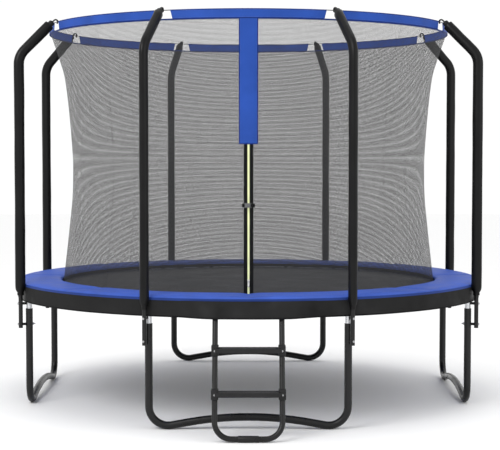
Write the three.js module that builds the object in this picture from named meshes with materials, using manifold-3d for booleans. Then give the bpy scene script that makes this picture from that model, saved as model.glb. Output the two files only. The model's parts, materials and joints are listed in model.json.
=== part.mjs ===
// Round garden trampoline with a netted enclosure, a hook-on ladder and eight bent poles.
// Millimetres, +Z up, with -Y the ladder side and the origin on the ground under the middle of the mat.
import * as THREE from 'three';
import { mergeVertices } from 'three/addons/utils/BufferGeometryUtils.js';
import Module from 'manifold-3d';

// ---- driving dimensions ----
const poleCount = 8;                 // poles, and also ring segments and leg sockets
const pitch = 360 / poleCount;       // degrees between poles
const firstPole = pitch / 2;         // first pole to the right of the front
const ringStep = 7.5;                // facet angle of everything round
const clearance = 0.5;               // between pieces that touch

const frameCircle = 1502;            // ring centreline radius, also the circle of leg uprights
const ringHeight = 725;              // ring centreline above ground
const ringTube = { radius: 21, bore: 19.5 };
const spigot = { radius: 18.8, bore: 16, shoulder: 20.2, shoulderArc: 0.4, rootArc: 0.2 };
const legStub = { radius: 18.8, bore: 17, bottom: 545, bite: 4 };

const legTube = { radius: 22.5, bore: 21 };
const leg = { top: 615, corner: 112, slope: 10, ramp: 100 };

const poleCircle = 1557;
const poleTube = { radius: 13.5, bore: 12.2 };
const pole = { bottom: 493, bendStart: 2151, bendRadius: 130, bend: 45, arm: 239 };
const boltHeights = [517, 648];      // two spacers tie each pole to its leg and to the ring's stub
const spacer = { radius: 8, reach: 10 };  // reach: how near the pole's axis it ends
const foam = { bottom: 700, radial: 31, tangential: 24.5, bore: 16.2 };
const cap = { radius: 17, length: 10, stem: 22, wire: 4, crook: 13, curl: 190 };

const matRadius = 1290;
const matTop = 735;
const matThickness = 2;
const springCount = 56;
const spring = { radius: 3.6, inner: 1300, outer: 1475, height: 733 };
const hem = { inner: 1290.6, outer: 1306, thickness: 8 };

const pad = { inner: 1243, outer: 1525, bottom: 753, top: 773 };
const skirt = { radius: 1524, thickness: 1.5, top: 752, bottom: 659 };
const skirtPush = { top: 9, bottom: 54, full: 9, none: 15 };  // how far the ladder pushes the skirt out

const band = { inner: 1312, outer: 1316, bottom: 2370, top: 2425, cord: 4 };
const bandGap = { top: 104, bottom: 134, depth: 60, margin: 1 };  // the opening cut for each pole's hook
const netThickness = 1;
const netBottom = 742;
const netProfile = [                 // height and radius of the net away from the door
  [742, 1234], [848, 1222], [1134, 1190], [1345, 1171],
  [1608, 1172], [2079, 1216], [2240, 1262], [2368, 1306],
];
const door = { bottomRadius: 1235, topHeight: 1646, topRadius: 1196, spread: 24 };
const strip = { width: 112, thickness: 2, bottom: 1646, standOff: 8 };
const tape = { width: 56, thickness: 2.5, gap: 0.8, margin: 4 };
const slider = { height: 840, size: [15, 5, 30], bridge: [7, 6, 15], eye: 1.7 };
const pull = { size: [11, 2.2, 36], pin: 1.1, cheek: 1.6, overlap: 1.5, inset: 0.1 };
const pullHinge = { out: 4.7, up: 6 };
const buckle = { height: 1288, lift: 13, thick: 11, tall: 27, socket: 25, plug: 17, split: 3 };
const prong = { length: 16, thick: 4, wide: 4, pitch: 8.4, root: 1, play: 1 };
const buckleWall = 2.5;

const rail = { radius: 16, bore: 14.4, spacing: 188, corner: 95, length: 708.5 };
const ladderFoot = { y: -1775, z: 19 };
const ladderLean = 19.95;            // degrees from upright
const sleeve = { radius: 19, bore: 16.9, length: 113 };
const stepTops = [267, 501];
const step = { depth: 90, thickness: 26 };
const bracket = { width: 41, depth: 70, height: 60, play: 1 };
const hook = { inner: 23.6, outer: 27.2, width: 24, nose: 16 };

// ---- finishes ----
const finish = {
  galvanised: { color: 0xb8bcc0, roughness: 0.38, metalness: 0.9 },
  blackSteel: { color: 0x1b1b1d, roughness: 0.42, metalness: 0.3 },
  foamSleeve: { color: 0x242426, roughness: 0.75, metalness: 0 },
  blackPlastic: { color: 0x151516, roughness: 0.5, metalness: 0 },
  matFabric: { color: 0x3a3b3d, roughness: 0.85, metalness: 0 },
  padBlue: { color: 0x3f62c9, roughness: 0.55, metalness: 0 },
  skirtCloth: { color: 0x2b2b2d, roughness: 0.8, metalness: 0 },
  netMesh: { color: 0x47484a, roughness: 0.9, metalness: 0 },
  bandBlue: { color: 0x2f4fc0, roughness: 0.6, metalness: 0 },
  webbing: { color: 0x1a1a1b, roughness: 0.85, metalness: 0 },
  zipMetal: { color: 0xc9ccc4, roughness: 0.35, metalness: 0.8 },
  buckleGrey: { color: 0x8d8f92, roughness: 0.5, metalness: 0 },
};

const wasm = await Module();
wasm.setup();

const model = new THREE.Group();

function addPiece(name, geometry, look, turn = 0) {
  const piece = new THREE.Mesh(geometry, new THREE.MeshStandardMaterial(look));
  piece.name = name;
  piece.rotation.z = THREE.MathUtils.degToRad(turn);
  model.add(piece);
  return piece;
}

// ---- solids ----
function solidOf(geometry) {
  const bare = geometry.clone();
  bare.deleteAttribute('normal');
  bare.deleteAttribute('uv');
  const merged = mergeVertices(bare, 1e-3);
  const mesh = new wasm.Mesh({
    numProp: 3,
    vertProperties: new Float32Array(merged.attributes.position.array),
    triVerts: new Uint32Array(merged.index.array),
  });
  return new wasm.Manifold(mesh);
}

function geometryOf(solid) {
  const mesh = solid.getMesh();
  const geometry = new THREE.BufferGeometry();
  geometry.setAttribute('position', new THREE.BufferAttribute(mesh.vertProperties, 3));
  geometry.setIndex(new THREE.BufferAttribute(mesh.triVerts, 1));
  geometry.computeVertexNormals();
  return geometry;
}

function join(geometries) {
  return geometryOf(geometries.map(solidOf).reduce((whole, piece) => whole.add(piece)));
}

function cut(geometry, tools) {
  return geometryOf(tools.map(solidOf).reduce((whole, tool) => whole.subtract(tool), solidOf(geometry)));
}

// ---- sections and routes ----
function polygon(radiusX, radiusY, sides) {
  const points = [];
  for (let i = 0; i < sides; i += 1) {
    const angle = (i * 2 * Math.PI) / sides;
    points.push(new THREE.Vector2(radiusX * Math.cos(angle), radiusY * Math.sin(angle)));
  }
  return points;
}

function tubeSection(radius, bore, sides = 8, boreSides = 8) {
  const section = new THREE.Shape(polygon(radius, radius, sides));
  if (bore > 0) section.holes.push(new THREE.Path(polygon(bore, bore, boreSides)));
  return section;
}

// A centreline given station by station, so that a tube and what slides on it share their facets.
class StationCurve extends THREE.Curve {
  constructor(stations) {
    super();
    this.stations = stations;
  }

  stationAt(u) {
    return this.stations[Math.round(u * (this.stations.length - 1))];
  }

  getPoint(u) {
    return this.stationAt(u).point.clone();
  }

  getPointAt(u) {
    return this.getPoint(u);
  }

  getTangentAt(u) {
    return this.stationAt(u).heading.clone();
  }
}

// A route of straight runs and arcs, walked from its start.
class Route {
  constructor(start, heading) {
    this.stations = [];
    this.point = new THREE.Vector3(...start);
    this.heading = new THREE.Vector3(...heading);
    this.mark();
  }

  mark() {
    this.stations.push({ point: this.point.clone(), heading: this.heading.clone() });
    return this;
  }

  line(length) {
    this.point.addScaledVector(this.heading, length);
    return this.mark();
  }

  arc(radius, degrees, axis, steps) {
    const around = new THREE.Vector3(...axis);
    const centre = this.point.clone().addScaledVector(around.clone().cross(this.heading), radius);
    for (let i = 0; i < steps; i += 1) {
      this.heading.applyAxisAngle(around, THREE.MathUtils.degToRad(degrees / steps));
      this.point.copy(centre).addScaledVector(around.clone().cross(this.heading), -radius);
      this.mark();
    }
    return this;
  }
}

function sweep(section, route) {
  return new THREE.ExtrudeGeometry(section, {
    steps: route.stations.length - 1,
    extrudePath: new StationCurve(route.stations),
    bevelEnabled: false,
  });
}

// A thin sheet round the Z axis, standing off radiusAt(angle, height). Both its sides are split into
// triangles along the same diagonals, so its walls stay a thickness apart where it is warped.
function bentSheet({ from, to, bottom, top, columns, rows, thickness, offset = 0, radiusAt }) {
  const points = [];
  const faces = [];
  for (const side of [-0.5, 0.5]) {
    for (let row = 0; row <= rows; row += 1) {
      for (let column = 0; column <= columns; column += 1) {
        const degrees = THREE.MathUtils.lerp(from, to, column / columns);
        const height = THREE.MathUtils.lerp(bottom, top, row / rows);
        const radius = radiusAt(degrees, height) + offset + side * thickness;
        const angle = THREE.MathUtils.degToRad(degrees);
        points.push(radius * Math.sin(angle), -radius * Math.cos(angle), height);
      }
    }
  }
  const inner = (column, row) => row * (columns + 1) + column;
  const outer = (column, row) => (rows + 1 + row) * (columns + 1) + column;
  const quad = (a, b, c, d) => faces.push(a, b, c, a, c, d);
  for (let row = 0; row < rows; row += 1) {
    for (let column = 0; column < columns; column += 1) {
      quad(outer(column, row), outer(column + 1, row), outer(column + 1, row + 1), outer(column, row + 1));
      quad(inner(column, row), inner(column, row + 1), inner(column + 1, row + 1), inner(column + 1, row));
    }
    quad(inner(0, row), outer(0, row), outer(0, row + 1), inner(0, row + 1));
    quad(outer(columns, row), inner(columns, row), inner(columns, row + 1), outer(columns, row + 1));
  }
  for (let column = 0; column < columns; column += 1) {
    quad(inner(column, 0), inner(column + 1, 0), outer(column + 1, 0), outer(column, 0));
    quad(outer(column, rows), outer(column + 1, rows), inner(column + 1, rows), inner(column, rows));
  }
  const sheet = new THREE.BufferGeometry();
  sheet.setAttribute('position', new THREE.Float32BufferAttribute(points, 3));
  sheet.setIndex(faces);
  sheet.computeVertexNormals();
  return sheet;
}

function washer(inner, outer, bottom, top, segments = 360 / ringStep) {
  const profile = [[inner, bottom], [outer, bottom], [outer, top], [inner, top], [inner, bottom]];
  const ring = new THREE.LatheGeometry(profile.map(([r, z]) => new THREE.Vector2(r, z)), segments);
  return ring.rotateX(Math.PI / 2);
}

// ---- frame ring: eight segments, each with a socket stub and a spigot for the next ----
function ringRoute(from, to, steps) {
  const start = THREE.MathUtils.degToRad(from);
  const route = new Route(
    [frameCircle * Math.sin(start), -frameCircle * Math.cos(start), ringHeight],
    [Math.cos(start), Math.sin(start), 0],
  );
  return route.arc(frameCircle, to - from, [0, 0, 1], steps);
}

function topRail() {
  const end = pitch / 2;
  const slit = THREE.MathUtils.radToDeg(clearance / 2 / frameCircle);
  const tubeRoute = ringRoute(-end + slit, end - slit, pitch / ringStep);
  const tube = sweep(tubeSection(ringTube.radius, ringTube.bore), tubeRoute);
  const shoulderRoute = ringRoute(end - spigot.shoulderArc, end - slit, 1);
  const shoulder = sweep(tubeSection(spigot.shoulder, spigot.bore, 8, 4), shoulderRoute);
  const tongueRoute = ringRoute(end - spigot.rootArc, end + ringStep, 1);
  const tongue = sweep(tubeSection(spigot.radius, spigot.bore, 8, 4), tongueRoute);
  const stubRoute = new Route([0, -frameCircle, legStub.bottom], [0, 0, 1]);
  stubRoute.line(ringHeight - ringTube.radius + legStub.bite - legStub.bottom);
  const stub = sweep(tubeSection(legStub.radius, legStub.bore, 8, 4), stubRoute);
  return join([tube, shoulder, tongue, stub]);
}

for (let i = 0; i < poleCount; i += 1) {
  addPiece(`top_rail_${i + 1}`, topRail(), finish.galvanised, firstPole + i * pitch);
}

// ---- legs: one bent tube each, with two uprights on neighbouring stubs ----
function legFrame() {
  const halfSpan = frameCircle * Math.sin(THREE.MathUtils.degToRad(firstPole));
  const plane = frameCircle * Math.cos(THREE.MathUtils.degToRad(firstPole));
  const flat = legTube.radius;
  const slope = THREE.MathUtils.degToRad(leg.slope);
  const upright = leg.top - flat - leg.corner;
  const rampEnd = halfSpan - leg.corner * (1 + Math.sin(slope)) - leg.ramp * Math.cos(slope);
  const route = new Route([-halfSpan, -plane, leg.top], [0, 0, -1]);
  route.line(upright).arc(leg.corner, 90, [0, -1, 0], 3);
  route.arc(leg.corner, leg.slope, [0, -1, 0], 1).line(leg.ramp);
  route.arc(rampEnd / Math.sin(slope), 2 * leg.slope, [0, 1, 0], 3).line(leg.ramp);
  route.arc(leg.corner, leg.slope, [0, -1, 0], 1).arc(leg.corner, 90, [0, -1, 0], 3).line(upright);
  return sweep(tubeSection(legTube.radius, legTube.bore), route);
}

['front', 'right', 'back', 'left'].forEach((side, i) => {
  addPiece(`leg_${side}`, legFrame(), finish.blackSteel, i * 90);
});

// ---- enclosure poles, their foam sleeves and their hook caps ----
function poleRoute(bottom) {
  const route = new Route([0, -poleCircle, bottom], [0, 0, 1]);
  route.line(pole.bendStart - bottom);
  return route.arc(pole.bendRadius, pole.bend, [-1, 0, 0], 3).line(pole.arm);
}

function spacerTo(surface, height) {
  const route = new Route([0, -(surface + clearance), height], [0, -1, 0]);
  route.line(poleCircle - surface - spacer.reach);
  return sweep(new THREE.Shape(polygon(spacer.radius, spacer.radius, 4)), route);
}

function poleTubeSolid() {
  const tube = sweep(tubeSection(poleTube.radius, poleTube.bore, 8, 4), poleRoute(pole.bottom));
  const [low, high] = boltHeights;
  const lowSpacer = spacerTo(frameCircle + legTube.radius, low);
  const highSpacer = spacerTo(frameCircle + legStub.radius, high);
  return join([tube, lowSpacer, highSpacer]);
}

function foamSleeve() {
  const section = new THREE.Shape(polygon(foam.radial, foam.tangential, 10));
  section.holes.push(new THREE.Path(polygon(foam.bore, foam.bore, 6)));
  return sweep(section, poleRoute(foam.bottom));
}

function hookCap() {
  const tip = poleRoute(pole.bottom).stations.at(-1);
  const along = tip.heading.toArray();
  const base = tip.point.clone().addScaledVector(tip.heading, clearance);
  const plugRoute = new Route(base.toArray(), along).line(cap.length);
  const wireStart = base.addScaledVector(tip.heading, cap.length / 2);
  const wireRoute = new Route(wireStart.toArray(), along).line(cap.length / 2 + cap.stem);
  wireRoute.arc(cap.crook, cap.curl, [-1, 0, 0], 7);
  const plug = sweep(new THREE.Shape(polygon(cap.radius, cap.radius, 8)), plugRoute);
  const wire = sweep(new THREE.Shape(polygon(cap.wire, cap.wire, 4)), wireRoute);
  return join([plug, wire]);
}

for (let i = 0; i < poleCount; i += 1) {
  const turn = firstPole + i * pitch;
  addPiece(`pole_${i + 1}`, poleTubeSolid(), finish.blackSteel, turn);
  addPiece(`pole_foam_${i + 1}`, foamSleeve(), finish.foamSleeve, turn);
  addPiece(`pole_cap_${i + 1}`, hookCap(), finish.blackPlastic, turn);
}

// ---- jumping mat, and the springs on its hem ----
function jumpingMat() {
  const underside = matTop - matThickness;
  const profile = [[0, underside], [matRadius, underside], [matRadius, matTop], [0, matTop]];
  const disc = new THREE.LatheGeometry(profile.map(([r, z]) => new THREE.Vector2(r, z)), springCount);
  return disc.rotateX(Math.PI / 2);
}

function springSet() {
  const half = hem.thickness / 2;
  const parts = [washer(hem.inner, hem.outer, spring.height - half, spring.height + half, springCount)];
  for (let i = 0; i < springCount; i += 1) {
    const angle = ((i + 0.5) * 2 * Math.PI) / springCount;
    const away = [Math.sin(angle), -Math.cos(angle), 0];
    const route = new Route([spring.inner * away[0], spring.inner * away[1], spring.height], away);
    route.line(spring.outer - spring.inner);
    parts.push(sweep(new THREE.Shape(polygon(spring.radius, spring.radius, 4)), route));
  }
  return join(parts);
}

addPiece('jumping_mat', jumpingMat(), finish.matFabric);
addPiece('spring_set', springSet(), finish.galvanised);

// ---- safety pad and its hanging skirt ----
function pushAt(degrees, share) {
  const away = Math.abs(degrees);
  const fade = THREE.MathUtils.clamp((skirtPush.none - away) / (skirtPush.none - skirtPush.full), 0, 1);
  return fade * THREE.MathUtils.lerp(skirtPush.bottom, skirtPush.top, share);
}

function skirtOutline(radius) {
  const points = [];
  let degrees = -180;
  while (degrees < 180) {
    const angle = THREE.MathUtils.degToRad(degrees);
    points.push(new THREE.Vector2(radius * Math.sin(angle), -radius * Math.cos(angle)));
    degrees += degrees >= -skirtPush.none && degrees < skirtPush.none ? ringStep / 3 : ringStep;
  }
  return points;
}

function padSkirt() {
  const section = new THREE.Shape(skirtOutline(skirt.radius + skirt.thickness));
  section.holes.push(new THREE.Path(skirtOutline(skirt.radius)));
  const wall = new THREE.ExtrudeGeometry(section, { depth: 1, bevelEnabled: false });
  const place = wall.attributes.position;
  for (let i = 0; i < place.count; i += 1) {
    const x = place.getX(i);
    const y = place.getY(i);
    const share = place.getZ(i);
    const radius = Math.hypot(x, y);
    const pushed = 1 + pushAt(THREE.MathUtils.radToDeg(Math.atan2(x, -y)), share) / radius;
    place.setXYZ(i, x * pushed, y * pushed, THREE.MathUtils.lerp(skirt.bottom, skirt.top, share));
  }
  return wall;
}

addPiece('safety_pad', washer(pad.inner, pad.outer, pad.bottom, pad.top), finish.padBlue);
addPiece('pad_skirt', padSkirt(), finish.skirtCloth);

// ---- enclosure net in five panels, drawn in at the waist and straight at the door ----
const waistPoints = netProfile.map(([z, r]) => new THREE.Vector3(r, 0, z));
const waist = new THREE.CatmullRomCurve3(waistPoints, false, 'centripetal');
const waistTable = waist.getPoints(200);  // fine enough to read the radius between two of them

function netRadius(height) {
  const above = waistTable.findIndex((sample) => sample.z >= height);
  if (above <= 0) return above === 0 ? waistTable[0].x : waistTable.at(-1).x;
  const low = waistTable[above - 1];
  const high = waistTable[above];
  return THREE.MathUtils.mapLinear(height, low.z, high.z, low.x, high.x);
}

function doorRadius(height) {
  const { bottomRadius, topHeight, topRadius } = door;
  const straight = THREE.MathUtils.mapLinear(height, netBottom, topHeight, bottomRadius, topRadius);
  if (height <= door.topHeight) return straight;
  const share = (height - door.topHeight) / (band.bottom - door.topHeight);
  const lean = straight - netRadius(height);
  return netRadius(height) + lean * (1 - THREE.MathUtils.smoothstep(share, 0, 0.5));
}

function panelRadius(degrees, height) {
  const away = Math.abs(((degrees + 180) % 360) - 180);
  const share = 1 - THREE.MathUtils.smoothstep(away, 0, door.spread);
  return THREE.MathUtils.lerp(netRadius(height), doorRadius(height), share);
}

const panels = [
  { name: 'net_front_right', from: 0, to: 45 },
  { name: 'net_right', from: 45, to: 135 },
  { name: 'net_back', from: 135, to: 225 },
  { name: 'net_left', from: 225, to: 315 },
  { name: 'net_front_left', from: 315, to: 360 },
];
const seam = 0.02;                   // degrees left open at each seam
for (const { name, from, to } of panels) {
  const sheet = bentSheet({
    from: from + seam,
    to: to - seam,
    bottom: netBottom,
    top: band.bottom - clearance,
    columns: (to - from) / ringStep,
    rows: 6,
    thickness: netThickness,
    radiusAt: panelRadius,
  });
  addPiece(name, sheet, finish.netMesh);
}

// ---- top band: webbing cut away at each pole, where only its cord goes on through the hook ----
function topBand() {
  const ring = washer(band.inner, band.outer, band.bottom, band.top);
  const gap = new THREE.Shape([
    new THREE.Vector2(-bandGap.bottom / 2, band.bottom - bandGap.margin),
    new THREE.Vector2(bandGap.bottom / 2, band.bottom - bandGap.margin),
    new THREE.Vector2(bandGap.top / 2, band.top - band.cord),
    new THREE.Vector2(-bandGap.top / 2, band.top - band.cord),
  ]);
  const tools = [];
  for (let i = 0; i < poleCount; i += 1) {
    const tool = new THREE.ExtrudeGeometry(gap, { depth: bandGap.depth, bevelEnabled: false });
    tool.rotateX(Math.PI / 2).translate(0, bandGap.depth / 2 - band.inner, 0);
    tools.push(tool.rotateZ(THREE.MathUtils.degToRad(firstPole + i * pitch)));
  }
  return cut(ring, tools);
}

addPiece('top_band', topBand(), finish.bandBlue);

// ---- door: blue strip, zip tape, slider with its pull, and a buckle across ----
const doorLean = Math.atan2(door.bottomRadius - door.topRadius, door.topHeight - netBottom);

function stripSheet() {
  const half = THREE.MathUtils.radToDeg(strip.width / (door.topRadius + band.inner));
  return bentSheet({
    from: -half,
    to: half,
    bottom: strip.bottom,
    top: band.bottom - clearance,
    columns: 2,
    rows: 6,
    thickness: strip.thickness,
    offset: strip.standOff,
    radiusAt: (degrees, height) => doorRadius(height),
  });
}

// Puts a piece on the door's outer face: up is its height and out is its distance from the net's middle.
function onDoor(name, geometry, look, up, out, across = 0) {
  const piece = addPiece(name, geometry, look);
  piece.position.set(across, -doorRadius(up) - out * Math.cos(doorLean), up);
  piece.rotation.x = -doorLean;
  return piece;
}

function zipSlider() {
  const body = new THREE.BoxGeometry(...slider.size);
  const bridge = new THREE.BoxGeometry(...slider.bridge);
  bridge.translate(0, -pullHinge.out, pullHinge.up);
  const eye = new THREE.CylinderGeometry(slider.eye, slider.eye, slider.size[0], 8);
  eye.rotateZ(Math.PI / 2);
  eye.translate(0, -pullHinge.out, pullHinge.up);
  return cut(join([body, bridge]), [eye]);
}

function zipPull() {
  const [width, thick, length] = pull.size;
  const neck = slider.bridge[2] / 2 + pull.overlap;
  const cheekLength = neck + 2 * pull.overlap + 1;
  const pin = new THREE.CylinderGeometry(pull.pin, pull.pin, width - 2 * pull.inset, 8);
  pin.rotateZ(Math.PI / 2);
  const cheeks = [-1, 1].map((side) => {
    const cheek = new THREE.BoxGeometry(pull.cheek, thick, cheekLength);
    return cheek.translate((side * (width - pull.cheek)) / 2, 0, pull.overlap - cheekLength / 2);
  });
  const tab = new THREE.BoxGeometry(width, thick - 2 * pull.inset, length - neck);
  tab.translate(0, 0, -neck - (length - neck) / 2);
  return join([pin, ...cheeks, tab]);
}

function buckleSocket() {
  const { thick, tall, socket } = buckle;
  const depth = prong.length + 2 * prong.play;
  const body = new THREE.BoxGeometry(socket, thick, tall);
  const pocket = new THREE.BoxGeometry(depth, thick - 2 * buckleWall, tall - 2 * buckleWall);
  pocket.translate((socket - depth) / 2 + clearance, 0, 0);
  return cut(body, [pocket]);
}

function bucklePlug() {
  const { thick, tall, plug } = buckle;
  const body = new THREE.BoxGeometry(plug, thick, tall);
  const prongs = [-1, 0, 1].map((row) => {
    const finger = new THREE.BoxGeometry(prong.length, prong.thick, prong.wide);
    return finger.translate(prong.root - (plug + prong.length) / 2, 0, row * prong.pitch);
  });
  return join([body, ...prongs]);
}

const tapeOut = netThickness / 2 + tape.gap + tape.thickness / 2;
const tapeFace = tapeOut + tape.thickness / 2;
const tapeLength = (strip.bottom - netBottom) / Math.cos(doorLean) - tape.margin;
const sliderOut = tapeFace + clearance + slider.size[1] / 2;
const buckleOut = tapeFace + buckle.lift + buckle.thick / 2;

addPiece('front_strip', stripSheet(), finish.bandBlue);
const tapeStrip = new THREE.BoxGeometry(tape.width, tape.thickness, tapeLength);
onDoor('zip_tape', tapeStrip, finish.webbing, (strip.bottom + netBottom) / 2, tapeOut);
onDoor('zip_slider', zipSlider(), finish.zipMetal, slider.height, sliderOut);
const pullPiece = onDoor('zip_pull', zipPull(), finish.zipMetal, slider.height, sliderOut + pullHinge.out);
pullPiece.translateZ(pullHinge.up);
const socketAcross = buckle.split - buckle.socket / 2;
const plugAcross = buckle.split + clearance + buckle.plug / 2;
onDoor('buckle_socket', buckleSocket(), finish.buckleGrey, buckle.height, buckleOut, socketAcross);
onDoor('buckle_plug', bucklePlug(), finish.buckleGrey, buckle.height, buckleOut, plugAcross);

// ---- ladder, built upright from its bottom tube and then leant against the ring ----
const ladder = new THREE.Group();
ladder.position.set(0, ladderFoot.y, ladderFoot.z);
ladder.rotation.x = -THREE.MathUtils.degToRad(ladderLean);
model.add(ladder);

function addToLadder(name, geometry, look) {
  const piece = addPiece(name, geometry, look);
  ladder.add(piece);
  return piece;
}

function ladderRail(side) {
  const route = new Route([side * rail.spacing, 0, rail.length], [0, 0, -1]);
  route.line(rail.length - rail.corner).arc(rail.corner, 90, [0, side, 0], 6);
  route.line(rail.spacing - rail.corner - clearance);
  return sweep(tubeSection(rail.radius, rail.bore, 10, 6), route);
}

function ladderSleeve() {
  const route = new Route([-sleeve.length / 2, 0, 0], [1, 0, 0]);
  return sweep(tubeSection(sleeve.radius, sleeve.bore, 12, 12), route.line(sleeve.length));
}

// A tread stays level, so it is placed by its own height and only its rail holes lean.
function ladderStep(topHeight) {
  const lean = THREE.MathUtils.degToRad(ladderLean);
  const holeRadius = rail.radius + bracket.play;
  const parts = [new THREE.BoxGeometry(2 * rail.spacing, step.depth, step.thickness)];
  const holes = [];
  for (const side of [-1, 1]) {
    const block = new THREE.BoxGeometry(bracket.width, bracket.depth, bracket.height);
    parts.push(block.translate(side * rail.spacing, 0, 0));
    const hole = new THREE.CylinderGeometry(holeRadius, holeRadius, 2 * bracket.height, 12);
    hole.rotateX(Math.PI / 2 - lean).translate(side * rail.spacing, 0, 0);
    holes.push(hole);
  }
  const middle = topHeight - step.thickness / 2;
  const behind = (middle - ladderFoot.z) * Math.tan(lean);
  return cut(join(parts), holes).translate(0, ladderFoot.y + behind, middle);
}

function ladderHook(side) {
  const lean = THREE.MathUtils.degToRad(ladderLean);
  const ringY = -Math.sqrt(frameCircle ** 2 - rail.spacing ** 2);
  const out = ringY - ladderFoot.y;
  const up = ringHeight - ladderFoot.z;
  const ringAcross = out * Math.cos(lean) - up * Math.sin(lean);
  const ringAlong = out * Math.sin(lean) + up * Math.cos(lean);
  const outline = new THREE.Shape();
  outline.moveTo(ringAcross - hook.outer, rail.length + clearance);
  outline.lineTo(ringAcross - hook.outer, ringAlong);
  outline.absarc(ringAcross, ringAlong, hook.outer, Math.PI, 0, true);
  outline.lineTo(ringAcross + hook.outer, ringAlong - hook.nose);
  outline.lineTo(ringAcross + hook.inner, ringAlong - hook.nose);
  outline.lineTo(ringAcross + hook.inner, ringAlong);
  outline.absarc(ringAcross, ringAlong, hook.inner, 0, Math.PI, false);
  outline.lineTo(ringAcross - hook.inner, rail.length + clearance);
  const plate = new THREE.ExtrudeGeometry(outline, {
    depth: hook.width,
    bevelEnabled: false,
    curveSegments: 8,
  });
  plate.rotateX(Math.PI / 2).rotateZ(Math.PI / 2);
  return plate.translate(side * rail.spacing - hook.width / 2, 0, 0);
}

addToLadder('ladder_rail_left', ladderRail(-1), finish.blackSteel);
addToLadder('ladder_rail_right', ladderRail(1), finish.blackSteel);
addToLadder('ladder_sleeve', ladderSleeve(), finish.blackSteel);
addPiece('step_lower', ladderStep(stepTops[0]), finish.blackPlastic);
addPiece('step_upper', ladderStep(stepTops[1]), finish.blackPlastic);
addToLadder('ladder_hook_left', ladderHook(-1), finish.blackSteel);
addToLadder('ladder_hook_right', ladderHook(1), finish.blackSteel);

export default model;
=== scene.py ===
import json
from math import atan2, cos, degrees, hypot, pi, radians, sin, sqrt

import bpy
from mathutils import Matrix, Vector, noise
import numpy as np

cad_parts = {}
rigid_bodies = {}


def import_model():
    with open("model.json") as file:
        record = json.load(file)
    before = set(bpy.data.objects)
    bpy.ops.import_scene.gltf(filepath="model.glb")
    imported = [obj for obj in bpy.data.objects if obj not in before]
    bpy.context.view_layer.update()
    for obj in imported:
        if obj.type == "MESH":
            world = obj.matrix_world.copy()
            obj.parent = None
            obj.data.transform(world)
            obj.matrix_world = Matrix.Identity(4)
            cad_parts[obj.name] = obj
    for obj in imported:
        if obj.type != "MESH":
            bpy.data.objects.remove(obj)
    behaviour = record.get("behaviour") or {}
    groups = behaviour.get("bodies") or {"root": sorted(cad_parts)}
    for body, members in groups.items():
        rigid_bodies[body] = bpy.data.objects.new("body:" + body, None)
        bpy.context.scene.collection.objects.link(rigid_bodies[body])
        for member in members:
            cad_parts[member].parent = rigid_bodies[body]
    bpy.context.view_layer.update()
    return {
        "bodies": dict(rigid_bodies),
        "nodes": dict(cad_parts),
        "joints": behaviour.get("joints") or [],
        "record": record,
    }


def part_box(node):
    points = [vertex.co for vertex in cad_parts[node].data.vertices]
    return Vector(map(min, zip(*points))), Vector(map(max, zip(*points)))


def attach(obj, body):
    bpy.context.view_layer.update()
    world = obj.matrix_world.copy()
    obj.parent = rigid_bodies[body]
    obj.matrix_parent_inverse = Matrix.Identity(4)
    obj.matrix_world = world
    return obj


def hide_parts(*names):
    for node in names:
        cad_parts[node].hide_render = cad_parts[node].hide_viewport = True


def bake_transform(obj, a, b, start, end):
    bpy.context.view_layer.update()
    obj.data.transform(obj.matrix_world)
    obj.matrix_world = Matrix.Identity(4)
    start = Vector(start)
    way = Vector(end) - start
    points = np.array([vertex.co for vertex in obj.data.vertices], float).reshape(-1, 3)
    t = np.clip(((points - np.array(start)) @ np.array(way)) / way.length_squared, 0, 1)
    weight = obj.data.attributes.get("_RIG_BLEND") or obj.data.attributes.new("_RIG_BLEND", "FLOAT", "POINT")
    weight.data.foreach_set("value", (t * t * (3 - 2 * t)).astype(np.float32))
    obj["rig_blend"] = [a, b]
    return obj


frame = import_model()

# camera, light and floor
shot = {"lens": 102.0, "away": 9.507, "height": 1.5645, "down": 2.704, "shift": 0.003}


def placeCamera():
    turn = (radians(90 - shot["down"]), 0, 0)
    bpy.ops.object.camera_add(location=(0, -shot["away"], shot["height"]), rotation=turn)
    camera = bpy.context.object
    camera.data.lens = shot["lens"]
    camera.data.shift_x = shot["shift"]
    bpy.context.scene.camera = camera


studio = {
    "sky": 1.02,
    "floor": (0.95, 0.95, 0.95, 1),
    "floorRoughness": 0.9,
    "floorSize": 60,
    "target": (0, 0, 1.1),
    "key": {"place": (-3.6, -5.5, 5.2), "size": 3.5, "power": 210},
    "fill": {"place": (5.0, -4.5, 3.4), "size": 4.0, "power": 50},
    "top": {"place": (0.5, 1.0, 6.5), "size": 5.0, "power": 80},
}


def softLight(name, values):
    place = Vector(values["place"])
    turn = (Vector(studio["target"]) - place).to_track_quat("-Z", "Y").to_euler()
    bpy.ops.object.light_add(type="AREA", location=place, rotation=turn)
    light = bpy.context.object
    light.name = name
    light.data.shape = "DISK"
    light.data.size = values["size"]
    light.data.energy = values["power"]


def buildStudio():
    scene = bpy.context.scene
    scene.view_settings.view_transform = "Standard"
    world = bpy.data.worlds.new("pale sky")
    scene.world = world
    world.use_nodes = True
    sky = world.node_tree.nodes["Background"]
    sky.inputs["Color"].default_value = (1, 1, 1, 1)
    sky.inputs["Strength"].default_value = studio["sky"]
    for name in ("key", "fill", "top"):
        softLight(name, studio[name])
    bpy.ops.mesh.primitive_plane_add(size=studio["floorSize"], location=(0, 0, 0))
    floor = bpy.context.object
    floor.name = "floor"
    material = bpy.data.materials.new("pale floor")
    material.use_nodes = True
    paint = material.node_tree.nodes["Principled BSDF"]
    paint.inputs["Base Color"].default_value = studio["floor"]
    paint.inputs["Roughness"].default_value = studio["floorRoughness"]
    floor.data.materials.append(material)


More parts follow.
